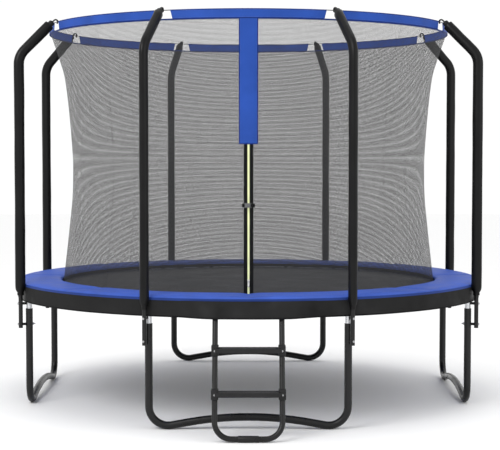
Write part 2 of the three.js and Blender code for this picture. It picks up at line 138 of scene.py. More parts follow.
# shader groups, each used by several materials
def newGroup(name, inputs, output):
    # number sockets only: inputs holds each one's first value
    group = bpy.data.node_groups.new(name, "ShaderNodeTree")
    for label, value in inputs.items():
        socket = group.interface.new_socket(label, in_out="INPUT", socket_type="NodeSocketFloat")
        socket.default_value = value
    group.interface.new_socket(output, in_out="OUTPUT", socket_type="NodeSocketFloat")
    return group, group.nodes.new("NodeGroupInput"), group.nodes.new("NodeGroupOutput")


def addNode(tree, kind, values=None, **settings):
    node = tree.nodes.new(kind)
    for key, value in settings.items():
        setattr(node, key, value)
    for key, value in (values or {}).items():
        node.inputs[key].default_value = value
    return node


def mathNode(tree, operation, *terms):
    # each term is a number or another node's output
    node = addNode(tree, "ShaderNodeMath", operation=operation)
    for socket, value in zip(node.inputs, terms):
        if hasattr(value, "is_output"):
            tree.links.new(value, socket)
        else:
            socket.default_value = value
    return node.outputs[0]


def toneGroup():
    # slow patches of lighter and darker, for handled and weathered surfaces
    group, start, end = newGroup("tone patches", {"Size": 4.0, "Low": 0.8, "High": 1.2}, "Value")
    coords = addNode(group, "ShaderNodeTexCoord")
    cloud = addNode(group, "ShaderNodeTexNoise", {"Detail": 5})
    spread = addNode(group, "ShaderNodeMapRange", {"From Min": 0.3, "From Max": 0.7})
    group.links.new(coords.outputs["Object"], cloud.inputs["Vector"])
    group.links.new(start.outputs["Size"], cloud.inputs["Scale"])
    group.links.new(cloud.outputs["Fac"], spread.inputs["Value"])
    group.links.new(start.outputs["Low"], spread.inputs["To Min"])
    group.links.new(start.outputs["High"], spread.inputs["To Max"])
    group.links.new(spread.outputs["Result"], end.inputs["Value"])
    return group


def weaveGroup():
    # crossed threads in the piece's own UV, which is in metres
    group, start, end = newGroup("thread weave", {"Threads": 800.0}, "Height")
    coords = addNode(group, "ShaderNodeTexCoord")
    split = addNode(group, "ShaderNodeSeparateXYZ")
    group.links.new(coords.outputs["UV"], split.inputs["Vector"])
    waves = []
    for axis in ("X", "Y"):
        turn = mathNode(group, "MULTIPLY", split.outputs[axis], start.outputs["Threads"])
        waves.append(mathNode(group, "SINE", mathNode(group, "MULTIPLY", turn, 2 * pi)))
    crossing = mathNode(group, "MULTIPLY", *waves)
    group.links.new(mathNode(group, "MULTIPLY_ADD", crossing, 0.5, 0.5), end.inputs["Height"])
    return group


def grainGroup():
    # fine random grain, for moulded plastic, powder coat and zinc
    group, start, end = newGroup("fine grain", {"Size": 400.0}, "Height")
    coords = addNode(group, "ShaderNodeTexCoord")
    grain = addNode(group, "ShaderNodeTexNoise", {"Detail": 3})
    group.links.new(coords.outputs["Object"], grain.inputs["Vector"])
    group.links.new(start.outputs["Size"], grain.inputs["Scale"])
    group.links.new(grain.outputs["Fac"], end.inputs["Height"])
    return group


groups = {"tone": toneGroup(), "weave": weaveGroup(), "grain": grainGroup()}


# materials
def newMaterial(name, color, roughness, metallic=0.0, gloss=0.2):
    material = bpy.data.materials.new(name)
    material.use_nodes = True
    tree = material.node_tree
    shader = tree.nodes["Principled BSDF"]
    shader.inputs["Base Color"].default_value = (*color, 1)
    shader.inputs["Roughness"].default_value = roughness
    shader.inputs["Metallic"].default_value = metallic
    shader.inputs["Specular IOR Level"].default_value = gloss
    return material, tree, shader


def placeGroup(tree, name, **values):
    node = tree.nodes.new("ShaderNodeGroup")
    node.node_tree = groups[name]
    for key, value in values.items():
        node.inputs[key].default_value = value
    return node


def tintBy(tree, shader, value, color):
    # multiplies the base colour by a varying value
    tint = addNode(tree, "ShaderNodeVectorMath", {0: color}, operation="SCALE")
    tree.links.new(value, tint.inputs["Scale"])
    tree.links.new(tint.outputs["Vector"], shader.inputs["Base Color"])


def bumpBy(tree, shader, height, strength, distance):
    bump = addNode(tree, "ShaderNodeBump", {"Strength": strength, "Distance": distance})
    tree.links.new(height, bump.inputs["Height"])
    tree.links.new(bump.outputs["Normal"], shader.inputs["Normal"])


def roughBy(tree, shader, value, base):
    rough = mathNode(tree, "MULTIPLY", value, base)
    tree.links.new(rough, shader.inputs["Roughness"])


def coatedSteel(name, color, roughness):
    # powder coat: a faint orange peel, with duller patches where hands and grass rub it
    material, tree, shader = newMaterial(name, color, roughness, gloss=0.3)
    tone = placeGroup(tree, "tone", Size=9.0, Low=0.75, High=1.3)
    tintBy(tree, shader, tone.outputs["Value"], color)
    roughBy(tree, shader, tone.outputs["Value"], roughness)
    grain = placeGroup(tree, "grain", Size=700.0)
    bumpBy(tree, shader, grain.outputs["Height"], 0.12, 0.0006)
    return material


def zincSteel(name, color, roughness):
    # zinc plate: a cool spangle over a fine grain
    material, tree, shader = newMaterial(name, color, roughness, 1.0, 0.5)
    coords = addNode(tree, "ShaderNodeTexCoord")
    spangle = addNode(tree, "ShaderNodeTexVoronoi", {"Scale": 160}, feature="F1")
    spread = addNode(tree, "ShaderNodeMapRange", {"To Min": 0.8, "To Max": 1.15})
    tree.links.new(coords.outputs["Object"], spangle.inputs["Vector"])
    tree.links.new(spangle.outputs["Distance"], spread.inputs["Value"])
    tintBy(tree, shader, spread.outputs["Result"], color)
    tone = placeGroup(tree, "tone", Size=14.0, Low=0.7, High=1.35)
    roughBy(tree, shader, tone.outputs["Value"], roughness)
    grain = placeGroup(tree, "grain", Size=260.0)
    bumpBy(tree, shader, grain.outputs["Height"], 0.08, 0.0005)
    return material


def mouldedPlastic(name, color, roughness, size=520.0):
    material, tree, shader = newMaterial(name, color, roughness)
    tone = placeGroup(tree, "tone", Size=20.0, Low=0.8, High=1.2)
    tintBy(tree, shader, tone.outputs["Value"], color)
    grain = placeGroup(tree, "grain", Size=size)
    bumpBy(tree, shader, grain.outputs["Height"], 0.25, 0.0008)
    return material


def wovenCloth(name, color, roughness, threads, sheen=0.0, depth=0.0004, patches=(0.85, 1.15)):
    # threads per metre, in the piece's own UV
    material, tree, shader = newMaterial(name, color, roughness, gloss=0.1)
    shader.inputs["Sheen Weight"].default_value = sheen
    shader.inputs["Sheen Roughness"].default_value = 0.5
    weave = placeGroup(tree, "weave", Threads=threads)
    tone = placeGroup(tree, "tone", Size=5.0, Low=patches[0], High=patches[1])
    shade = mathNode(tree, "MULTIPLY_ADD", weave.outputs["Height"], 0.24, 0.88)
    value = mathNode(tree, "MULTIPLY", shade, tone.outputs["Value"])
    tintBy(tree, shader, value, color)
    roughBy(tree, shader, tone.outputs["Value"], roughness)
    bumpBy(tree, shader, weave.outputs["Height"], 0.35, depth)
    return material


def sleeveCloth(name, color, roughness):
    # coated cover drawn over foam: soft creases that run along the sleeve
    material, tree, shader = newMaterial(name, color, roughness, gloss=0.18)
    coords = addNode(tree, "ShaderNodeTexCoord")
    stretch = addNode(tree, "ShaderNodeMapping", {"Scale": (1, 1, 0.22)})
    crease = addNode(tree, "ShaderNodeTexNoise", {"Scale": 42, "Detail": 4, "Distortion": 0.6})
    tree.links.new(coords.outputs["Object"], stretch.inputs["Vector"])
    tree.links.new(stretch.outputs["Vector"], crease.inputs["Vector"])
    bumpBy(tree, shader, crease.outputs["Fac"], 0.3, 0.004)
    tone = placeGroup(tree, "tone", Size=7.0, Low=0.8, High=1.2)
    tintBy(tree, shader, tone.outputs["Value"], color)
    roughBy(tree, shader, tone.outputs["Value"], roughness)
    return material


# thread spacings in metres, and the shares of them that threads fill
netting = {"color": (0.050, 0.050, 0.051), "pitchAcross": 0.0050, "pitchUp": 0.0070, "row": 0.28,
           "slant": 0.18}


def netCloth(name):
    # open knitted mesh: level rows with slanted threads between them, clear in its eyes
    material, tree, shader = newMaterial(name, netting["color"], 0.75, gloss=0.05)
    coords = addNode(tree, "ShaderNodeTexCoord")
    split = addNode(tree, "ShaderNodeSeparateXYZ")
    tree.links.new(coords.outputs["UV"], split.inputs["Vector"])
    across = mathNode(tree, "MULTIPLY", split.outputs["X"], 1 / netting["pitchAcross"])
    up = mathNode(tree, "MULTIPLY", split.outputs["Y"], 1 / netting["pitchUp"])
    masks = []
    for sign in (1, -1):
        phase = mathNode(tree, "FRACT", mathNode(tree, "MULTIPLY_ADD", up, sign * 0.5, across))
        away = mathNode(tree, "ABSOLUTE", mathNode(tree, "SUBTRACT", phase, 0.5))
        masks.append(mathNode(tree, "LESS_THAN", away, netting["slant"] / 2))
    rows = mathNode(tree, "LESS_THAN", mathNode(tree, "FRACT", up), netting["row"])
    threads = mathNode(tree, "MAXIMUM", mathNode(tree, "MAXIMUM", *masks), rows)
    tree.links.new(threads, shader.inputs["Alpha"])
    tone = placeGroup(tree, "tone", Size=3.0, Low=0.9, High=1.1)
    tintBy(tree, shader, tone.outputs["Value"], netting["color"])
    return material


materials = {
    "powderBlack": coatedSteel("black powder coat", (0.0060, 0.0060, 0.0063), 0.30),
    "zinc": zincSteel("zinc plate", (0.60, 0.61, 0.63), 0.30),
    "boltSteel": zincSteel("bolt steel", (0.42, 0.42, 0.43), 0.34),
    "weldBead": coatedSteel("weld bead", (0.12, 0.12, 0.125), 0.45),
    "foamCover": sleeveCloth("foam sleeve cover", (0.0038, 0.0038, 0.0040), 0.36),
    "hookPlastic": mouldedPlastic("hook plastic", (0.006, 0.006, 0.0065), 0.42),
    "matCloth": wovenCloth("mat cloth", (0.014, 0.014, 0.0143), 0.6, 480.0, sheen=0.1),
    "matHem": wovenCloth("mat hem webbing", (0.009, 0.009, 0.0095), 0.7, 700.0),
    "padCover": wovenCloth("blue pad cover", (0.042, 0.096, 0.43), 0.55, 900.0, depth=0.0003),
    "padEdge": wovenCloth("blue pad side", (0.016, 0.040, 0.19), 0.5, 900.0, depth=0.0003),
    "skirtCloth": wovenCloth("skirt cloth", (0.012, 0.012, 0.0122), 0.62, 420.0, patches=(0.5, 2.0)),
    "blackHem": wovenCloth("black hem", (0.005, 0.005, 0.0055), 0.7, 900.0),
    "net": netCloth("enclosure net"),
    "netHem": wovenCloth("net hem", (0.020, 0.020, 0.0205), 0.7, 620.0),
    "bandCloth": wovenCloth("blue band cloth", (0.019, 0.064, 0.31), 0.5, 900.0, depth=0.0003),
    "bandEdge": wovenCloth("blue band edge", (0.008, 0.028, 0.16), 0.55, 900.0, depth=0.0003),
    "blackWebbing": wovenCloth("black webbing", (0.005, 0.005, 0.0052), 0.65, 800.0),
    "paleLine": wovenCloth("pale green line", (0.86, 0.90, 0.52), 0.5, 1100.0),
    "blueThread": mouldedPlastic("blue sewing thread", (0.10, 0.17, 0.5), 0.6, 900.0),
    "zipMetal": zincSteel("bright zip metal", (0.72, 0.72, 0.70), 0.22),
    "zipTeeth": mouldedPlastic("zip teeth", (0.66, 0.71, 0.38), 0.35, 900.0),
    "buckleGrey": mouldedPlastic("grey buckle plastic", (0.115, 0.117, 0.12), 0.42),
    # painted highlight: the grip studs get a lighter colour than the tread plastic, standing in for light on the
    # tread's top
    "gripPlastic": mouldedPlastic("tread grip painted lighter", (0.040, 0.040, 0.041), 0.5, 420.0),
    "treadPlastic": mouldedPlastic("tread plastic", (0.014, 0.014, 0.0145), 0.46, 420.0),
}


# shaping helpers
def pick(*pieces):
    bpy.ops.object.select_all(action="DESELECT")
    for piece in pieces:
        piece.select_set(True)
    bpy.context.view_layer.objects.active = pieces[0]


def startEdit(piece):
    pick(piece)
    bpy.ops.object.mode_set(mode="EDIT")
    bpy.ops.mesh.select_all(action="SELECT")


def endEdit():
    bpy.ops.object.mode_set(mode="OBJECT")


def holdPlace():
    bpy.ops.object.transform_apply(location=True, rotation=True, scale=True)


def modify(piece, kind, **settings):
    pick(piece)
    bpy.ops.object.modifier_add(type=kind)
    modifier = piece.modifiers[-1]
    for key, value in settings.items():
        setattr(modifier, key, value)
    bpy.ops.object.modifier_apply(modifier=modifier.name)


def smoothPiece(piece, angle):
    pick(piece)
    bpy.ops.object.shade_smooth_by_angle(angle=radians(angle))


def cleanFaces(piece):
    startEdit(piece)
    bpy.ops.mesh.remove_doubles(threshold=0.00001)
    bpy.ops.mesh.normals_make_consistent(inside=False)
    endEdit()


def insetFaces(piece, faceTest, thickness, depth):
    startEdit(piece)
    bpy.ops.mesh.select_all(action="DESELECT")
    endEdit()
    for face in piece.data.polygons:
        face.select = faceTest(face)
    bpy.ops.object.mode_set(mode="EDIT")
    bpy.ops.mesh.inset(thickness=thickness, depth=depth)
    endEdit()


def joinPieces(pieces, name):
    pick(*pieces)
    bpy.ops.object.join()
    pieces[0].name = name
    return pieces[0]


def copyPiece(piece, name, matrix):
    twin = piece.copy()
    twin.data = piece.data.copy()
    twin.name = name
    bpy.context.collection.objects.link(twin)
    twin.data.transform(matrix)
    return twin


def dropPiece(piece):
    bpy.data.objects.remove(piece, do_unlink=True)


def turnAbout(angle):
    return Matrix.Rotation(radians(angle), 4, "Z")


def repeatShape(shape, places, name):
    # one mesh holding a copy of a modelled shape at each place
    corners = [vertex.co.copy() for vertex in shape.data.vertices]
    faces = [tuple(face.vertices) for face in shape.data.polygons]
    points, joined = [], []
    for place in places:
        base = len(points)
        points += [place @ corner for corner in corners]
        joined += [tuple(base + corner for corner in face) for face in faces]
    mesh = bpy.data.meshes.new(name)
    mesh.from_pydata(points, [], joined)
    piece = bpy.data.objects.new(name, mesh)
    bpy.context.collection.objects.link(piece)
    dropPiece(shape)
    return piece


def finishPiece(piece, look, body="root", nodes=(), angle=40):
    piece.data.materials.clear()
    piece.data.materials.append(materials[look])
    if angle:
        smoothPiece(piece, angle)
    if body:
        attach(piece, body)
    if nodes:
        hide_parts(*nodes)
    return piece


# a section, round or a flat bar's end, is walked along straight runs, bends and growths
def startSection(name, size, at, heading, sides=20):
    turn = Vector(heading).to_track_quat("Z", "Y").to_euler()
    if sides == 4:
        bpy.ops.mesh.primitive_plane_add(size=1, location=at, rotation=turn)
    else:
        bpy.ops.mesh.primitive_circle_add(vertices=sides, radius=1, location=at, rotation=turn)
    piece = bpy.context.object
    piece.name = name
    piece.scale = (size[0], size[1], 1)
    pick(piece)
    holdPlace()
    startEdit(piece)
    if sides == 4:
        bpy.ops.mesh.delete(type="ONLY_FACE")
        bpy.ops.mesh.select_all(action="SELECT")
    return piece


def walkSection(start, heading, moves):
    point, along = Vector(start), Vector(heading)
    for move in moves:
        if move[0] == "line":
            bpy.ops.mesh.extrude_region_move(TRANSFORM_OT_translate={"value": along * move[1]})
            point = point + along * move[1]
        elif move[0] == "grow":
            bpy.ops.transform.resize(value=(move[1],) * 3, center_override=point)
        else:
            radius, angle, axis, steps = move[1:]
            around = Vector(axis)
            centre = point + around.cross(along) * radius
            bpy.ops.mesh.spin(steps=steps, angle=-radians(angle), center=centre, axis=around)
            turn = Matrix.Rotation(radians(angle), 3, around)
            point = centre + turn @ (point - centre)
            along = turn @ along
    return point, along


def sweepSection(name, size, start, heading, moves, wall=0.0, sides=20, bevel=0.0):
    piece = startSection(name, size, start, heading, sides)
    point, along = walkSection(start, heading, moves)
    bpy.ops.mesh.select_all(action="SELECT")
    if not wall:
        bpy.ops.mesh.fill_holes(sides=0)
    endEdit()
    cleanFaces(piece)
    if wall:
        modify(piece, "SOLIDIFY", thickness=wall, offset=-1)
    if bevel:
        modify(piece, "BEVEL", width=bevel, segments=2, limit_method="ANGLE", angle_limit=radians(50))
    piece["tip"] = list(point)
    piece["tipHeading"] = list(along)
    return piece


def barrel(name, radius, start, end, sides=16, bevel=0.0006):
    # a short round bar with eased rims
    reach = Vector(end) - Vector(start)
    heading = reach.normalized()
    return sweepSection(name, (radius, radius), start, heading, [("line", reach.length)], 0.0, sides, bevel)


def block(name, size, place, bevel=0.001, segments=2):
    # a moulded block: a cube cut to size, with its edges eased
    bpy.ops.object.select_all(action="DESELECT")
    bpy.ops.mesh.primitive_cube_add(size=1, location=place)
    piece = bpy.context.object
    piece.name = name
    piece.scale = size
    pick(piece)
    holdPlace()
    modify(piece, "BEVEL", width=bevel, segments=segments, limit_method="ANGLE")
    return piece


def bentSheet(name, columns, rows, placeAt, thick=0.0):
    # a flat cut of cloth laid round the frame: placeAt(u, v) gives each point, and the UV is in metres
    bpy.ops.object.select_all(action="DESELECT")
    bpy.ops.mesh.primitive_grid_add(x_subdivisions=columns, y_subdivisions=rows, size=1)
    piece = bpy.context.object
    piece.name = name
    mesh = piece.data
    flat = [(vertex.co.x + 0.5, vertex.co.y + 0.5) for vertex in mesh.vertices]
    for vertex, (u, v) in zip(mesh.vertices, flat):
        vertex.co = placeAt(u, v)
    middle = [placeAt(column / columns, 0.5) for column in range(columns + 1)]
    width = sum((b - a).length for a, b in zip(middle, middle[1:]))
    upright = [placeAt(0.5, row / rows) for row in range(rows + 1)]
    tall = sum((b - a).length for a, b in zip(upright, upright[1:]))
    layer = mesh.uv_layers.active
    for loop in mesh.loops:
        u, v = flat[loop.vertex_index]
        layer.data[loop.index].uv = (u * width, v * tall)
    piece["flat"] = (width, tall)
    cleanFaces(piece)
    if thick:
        modify(piece, "SOLIDIFY", thickness=thick, offset=0)
    return piece


def aroundUV(piece, radius):
    # UV in metres on a flat ring round the Z axis
    mesh = piece.data
    layer = mesh.uv_layers.active or mesh.uv_layers.new(name="metres")
    for face in mesh.polygons:
        middle = atan2(face.center.x, -face.center.y)
        for index in face.loop_indices:
            place = mesh.vertices[mesh.loops[index].vertex_index].co
            angle = atan2(place.x, -place.y)
            if angle - middle > pi:
                angle -= 2 * pi
            elif middle - angle > pi:
                angle += 2 * pi
            layer.data[index].uv = (angle * radius, hypot(place.x, place.y))


def setBlend(piece, parent, child, start, end, weightAt=None):
    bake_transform(piece, parent, child, start=start, end=end)
    if weightAt is None:
        return
    weights = piece.data.attributes["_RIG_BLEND"].data
    for vertex, weight in zip(piece.data.vertices, weights):
        weight.value = weightAt(vertex.co)


def smoothStep(value):
    value = min(max(value, 0.0), 1.0)
    return value * value * (3 - 2 * value)


def polar(angle, radius, height):
    turn = radians(angle)
    return Vector((radius * sin(turn), -radius * cos(turn), height))


placeCamera()
buildStudio()
print("camera and studio set")

poleCount = 8
poleStep = 360 / poleCount
halfStep = poleStep / 2
# degrees from the front, to the right
poleTurns = [halfStep + poleStep * index for index in range(poleCount)]

# frame ring: eight zinc-plated segments with welded stubs
ring = {"circle": 1.502, "height": 0.725, "radius": 0.021, "wall": 0.0015, "slit": 0.01,
        "screw": 0.0055, "screwTall": 0.006, "screwProud": 0.0022, "screwTurn": 1.1}
stub = {"radius": 0.0188, "low": 0.545, "wall": 0.0015, "sunk": 0.014}
weld = {"major": 0.0200, "minor": 0.0028, "drop": 0.0195, "ripple": 0.0005, "ripples": 24}


def makeTopRail():
    half = halfStep - ring["slit"]
    start = polar(-half, ring["circle"], ring["height"])
    heading = (cos(radians(half)), -sin(radians(half)), 0)
    arc = [("bend", ring["circle"], 2 * half, (0, 0, 1), 26)]
    tube = sweepSection("rail tube", (ring["radius"],) * 2, start, heading, arc, ring["wall"], 24)
    low = (0, -ring["circle"], stub["low"])
    tall = ring["height"] - stub["sunk"] - stub["low"]
    rise = [("line", tall)]
    post = sweepSection("rail stub", (stub["radius"],) * 2, low, (0, 0, 1), rise, stub["wall"], 24)
    bpy.ops.object.select_all(action="DESELECT")
    place = (0, -ring["circle"], ring["height"] - weld["drop"])
    bpy.ops.mesh.primitive_torus_add(location=place, major_radius=weld["major"], minor_radius=weld["minor"],
                                     major_segments=36, minor_segments=8)
    bead = bpy.context.object
    holdPlace()
    for vertex in bead.data.vertices:  # weld ripples
        turn = atan2(vertex.co.x, -vertex.co.y - ring["circle"])
        vertex.co.z += weld["ripple"] * sin(weld["ripples"] * turn)
    screws = []
    for side in (-1, 1):
        headLow = ring["height"] - ring["radius"] - ring["screwProud"]
        at = polar(side * (halfStep - ring["screwTurn"]), ring["circle"], headLow)
        top = at + Vector((0, 0, ring["screwTall"]))
        screws.append(barrel("joint screw", ring["screw"], at, top, 12, 0.0012))
    return joinPieces([tube, post], "rail"), bead, joinPieces(screws, "screws")


def buildTopRails():
    rail, bead, joint = makeTopRail()
    for index, turn in enumerate(poleTurns, 1):
        node = f"top_rail_{index}"
        place = turnAbout(turn)
        finishPiece(copyPiece(rail, f"frame_{node}", place), "zinc", nodes=(node,))
        finishPiece(copyPiece(bead, f"weld_{index}", place), "weldBead")
        finishPiece(copyPiece(joint, f"rail_screws_{index}", place), "boltSteel")
    for piece in (rail, bead, joint):
        dropPiece(piece)


buildTopRails()
print("frame ring made")

# legs: one bent tube each
leg = {"radius": 0.0225, "wall": 0.0015, "top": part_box("leg_front")[1][2], "corner": 0.112, "slope": 10.0,
       "ramp": 0.1}


def buildLegs():
    halfSpan = ring["circle"] * sin(radians(halfStep))
    plane = ring["circle"] * cos(radians(halfStep))
    slope = radians(leg["slope"])
    upright = leg["top"] - leg["radius"] - leg["corner"]
    rampEnd = halfSpan - leg["corner"] * (1 + sin(slope)) - leg["ramp"] * cos(slope)
    corner = ("bend", leg["corner"], 90, (0, -1, 0), 12)
    ease = ("bend", leg["corner"], leg["slope"], (0, -1, 0), 2)
    hump = ("bend", rampEnd / sin(slope), 2 * leg["slope"], (0, 1, 0), 14)
    ramp = ("line", leg["ramp"])
    moves = [("line", upright), corner, ease, ramp, hump, ramp, ease, corner, ("line", upright)]
    start = (-halfSpan, -plane, leg["top"])
    tube = sweepSection("leg", (leg["radius"],) * 2, start, (0, 0, -1), moves, leg["wall"], 28)
    for index, side in enumerate(("front", "right", "back", "left")):
        piece = copyPiece(tube, f"frame_leg_{side}", turnAbout(90 * index))
        finishPiece(piece, "powderBlack", nodes=(f"leg_{side}",))
    dropPiece(tube)


buildLegs()
print("legs made")

# enclosure poles, their bolts, foam sleeves and hook caps
pole = {"circle": 1.557, "radius": 0.0135, "wall": 0.0013, "low": 0.493, "bendStart": 2.151,
        "bendRadius": 0.13, "arm": 0.239}
bolts = {"heights": (0.517, 0.648),
         "inner": (ring["circle"] + leg["radius"], ring["circle"] + stub["radius"]),
         "spacer": 0.0085, "bolt": 0.004, "head": 0.0075, "headTall": 0.006, "nut": 0.0072, "nutTall": 0.008,
         "washer": 0.0095, "proud": 0.016}
foam = {"low": 0.700, "radial": 0.0335, "tangential": 0.026, "boot": 0.6, "pitch": 0.03, "lump": 0.0016,
        "lumps": 9.0, "armSteps": 8,
        # the tied foot: each run up the pole, and how much wider the next one is
        "foot": ((0.012, 1.04), (0.006, 0.94), (0.006, 1.22), (0.010, 1.22), (0.012, 1.08), (0.014, 1.03)),
        "rim": ((0.004, 0.95), (0.0005, 0.62))}
cap = {"radius": 0.0195, "length": 0.011, "skirt": 0.017, "stem": 0.020, "wire": (0.0085, 0.0048),
       "crook": 0.013, "curl": 190.0, "boss": 0.0115, "bossTall": 0.006}


def poleMoves(low, pitch=0.0):
    moves = [("line", pole["bendStart"] - low)]
    arm = [("line", pole["arm"])]
    if pitch:  # the sleeve: short steps that can be ruffled, and it ends below the cap
        runs = round((pole["bendStart"] - low) / pitch)
        moves = [("line", (pole["bendStart"] - low) / runs)] * runs
        arm = [("line", (pole["arm"] - cap["skirt"]) / foam["armSteps"])] * foam["armSteps"]
    return moves + [("bend", pole["bendRadius"], 45, (-1, 0, 0), 9)] + arm


def makeBolts():
    # spacer, hexagon head, nut and washer at each of the two heights
    spacers, steel = [], []
    for height, inner, reach in zip(bolts["heights"], bolts["inner"], (leg["radius"], stub["radius"])):
        outer = pole["circle"] - pole["radius"] + 0.002
        spacers.append(barrel("spacer", bolts["spacer"], (0, -inner, height), (0, -outer, height), 20))
        out = pole["circle"] + pole["radius"]
        back = ring["circle"] - reach
        for start, end, radius, sides in (
            (back + 0.014, out, bolts["bolt"], 12),
            (out - 0.001, out + bolts["headTall"], bolts["head"], 6),
            (back + 0.001, back + 0.001 - bolts["nutTall"], bolts["nut"], 6),
            (back + 0.0015, back - 0.0012, bolts["washer"], 20),
            (back - 0.005, back - bolts["proud"], bolts["bolt"], 12),
        ):
            steel.append(barrel("bolt", radius, (0, -start, height), (0, -end, height), sides, 0.0005))
    return joinPieces(spacers, "spacers"), joinPieces(steel, "bolts")


def makeSleeve():
    size = (foam["tangential"] * foam["boot"], foam["radial"] * foam["boot"])
    start = (0, -pole["circle"], foam["low"])
    foot = [move for run, grow in foam["foot"] for move in (("line", run), ("grow", grow))]
    rim = [move for run, grow in foam["rim"] for move in (("line", run), ("grow", grow))]
    used = sum(run for run, grow in foam["foot"])
    moves = foot + poleMoves(foam["low"] + used, foam["pitch"]) + rim
    piece = startSection("sleeve", size, start, (0, 0, 1), 28)
    walkSection(start, (0, 0, 1), moves)
    bpy.ops.mesh.select_all(action="SELECT")
    bpy.ops.mesh.fill_holes(sides=0)
    endEdit()
    cleanFaces(piece)
    return piece


def ruffle(piece, amount, size):
    # soft lumps and creases, moved along the surface's own normals
    shifts = []
    for vertex in piece.data.vertices:
        spot = vertex.co * size
        spot.z *= 0.35
        shifts.append(amount * noise.fractal(spot, 0.9, 2.0, 3))
    for vertex, shift in zip(piece.data.vertices, shifts):
        vertex.co += vertex.normal * shift


def makeHook(tip, heading):
    base = tip + heading * 0.0005
    lowEnd = base - heading * (cap["skirt"] - 0.001)
    disc = barrel("cap disc", cap["radius"], lowEnd, base + heading * cap["length"], 28, 0.0016)
    wireStart = base + heading * cap["length"] * 0.5
    moves = [("line", cap["length"] * 0.5 + cap["stem"]), ("bend", cap["crook"], cap["curl"], (-1, 0, 0), 14)]
    wire = sweepSection("cap hook", cap["wire"], wireStart, heading, moves, 0.0, 12, 0.0012)
    bossEnd = base + heading * (cap["length"] + cap["bossTall"])
    boss = barrel("cap boss", cap["boss"], base + heading * cap["length"] * 0.9, bossEnd, 20, 0.0015)
    return joinPieces([disc, wire, boss], "hook cap")


def buildPoles():
    size = (pole["radius"],) * 2
    start = (0, -pole["circle"], pole["low"])
    tube = sweepSection("pole", size, start, (0, 0, 1), poleMoves(pole["low"]), pole["wall"], 22)
    tip, heading = Vector(tube["tip"]), Vector(tube["tipHeading"])
    spacers, steel = makeBolts()
    sleeve = makeSleeve()
    hookCap = makeHook(tip, heading)
    for index, turn in enumerate(poleTurns, 1):
        place = turnAbout(turn)
        bar = copyPiece(tube, f"enclosure_pole_{index}", place)
        finishPiece(bar, "powderBlack", nodes=(f"pole_{index}",))
        finishPiece(copyPiece(spacers, f"pole_spacers_{index}", place), "hookPlastic")
        finishPiece(copyPiece(steel, f"pole_bolts_{index}", place), "boltSteel")
        cover = copyPiece(sleeve, f"foam_sleeve_{index}", place)
        ruffle(cover, foam["lump"], foam["lumps"])
        finishPiece(cover, "foamCover", nodes=(f"pole_foam_{index}",), angle=60)
        finishPiece(copyPiece(hookCap, f"hook_cap_{index}", place), "hookPlastic",
                    nodes=(f"pole_cap_{index}",))
    for piece in (tube, spacers, steel, sleeve, hookCap):
        dropPiece(piece)


buildPoles()
print("poles, sleeves and caps made")

# jumping mat, V-rings and coil springs
mat = {"radius": 1.29, "top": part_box("jumping_mat")[1][2], "thick": 0.002, "hemWidth": 0.045,
       "hemThick": 0.0022, "insets": (0.05, 0.15, 0.2, 0.25, 0.3, 0.25)}
springs = {"count": 56, "inner": 1.312, "outer": 1.462, "height": 0.737, "coil": 0.0085, "wire": 0.0015,
           "turns": 26, "stepsPerTurn": 9,
           # outer hook, out from the coil's end and up from its middle
           "hook": ((0.006, 0.004), (0.014, 0.008), (0.022, 0.0095), (0.029, 0.007), (0.031, 0.001))}
vRing = {"reach": 0.024, "half": 0.019, "wire": 0.0022, "sewnIn": 0.010, "drop": 0.006}


def outwards(turn):
    # turns a shape built along +X to its place round the frame
    return turnAbout(turn - 90)


def buildMat():
    bpy.ops.object.select_all(action="DESELECT")
    bpy.ops.mesh.primitive_circle_add(vertices=112, radius=mat["radius"], fill_type="NGON",
                                      location=(0, 0, mat["top"] - mat["thick"] / 2))
    cloth = bpy.context.object
    holdPlace()
    startEdit(cloth)
    for inset in mat["insets"]:
        bpy.ops.mesh.inset(thickness=inset)
    bpy.ops.mesh.poke()
    endEdit()
    modify(cloth, "SOLIDIFY", thickness=mat["thick"], offset=0)
    layer = cloth.data.uv_layers.active or cloth.data.uv_layers.new(name="metres")
    for loop in cloth.data.loops:
        place = cloth.data.vertices[loop.vertex_index].co
        layer.data[loop.index].uv = (place.x, place.y)
    cloth.name = "mat_cloth"
    finishPiece(cloth, "matCloth", "mat", ("jumping_mat",))

    low = mat["radius"] - mat["hemWidth"]
    height = mat["top"] - mat["thick"] - mat["hemThick"]

    def hemAt(u, v):
        return polar(360 * u, low + v * (mat["hemWidth"] + 0.002), height)

    hem = bentSheet("mat_hem", 168, 3, hemAt, mat["hemThick"])
    finishPiece(hem, "matHem", "mat")


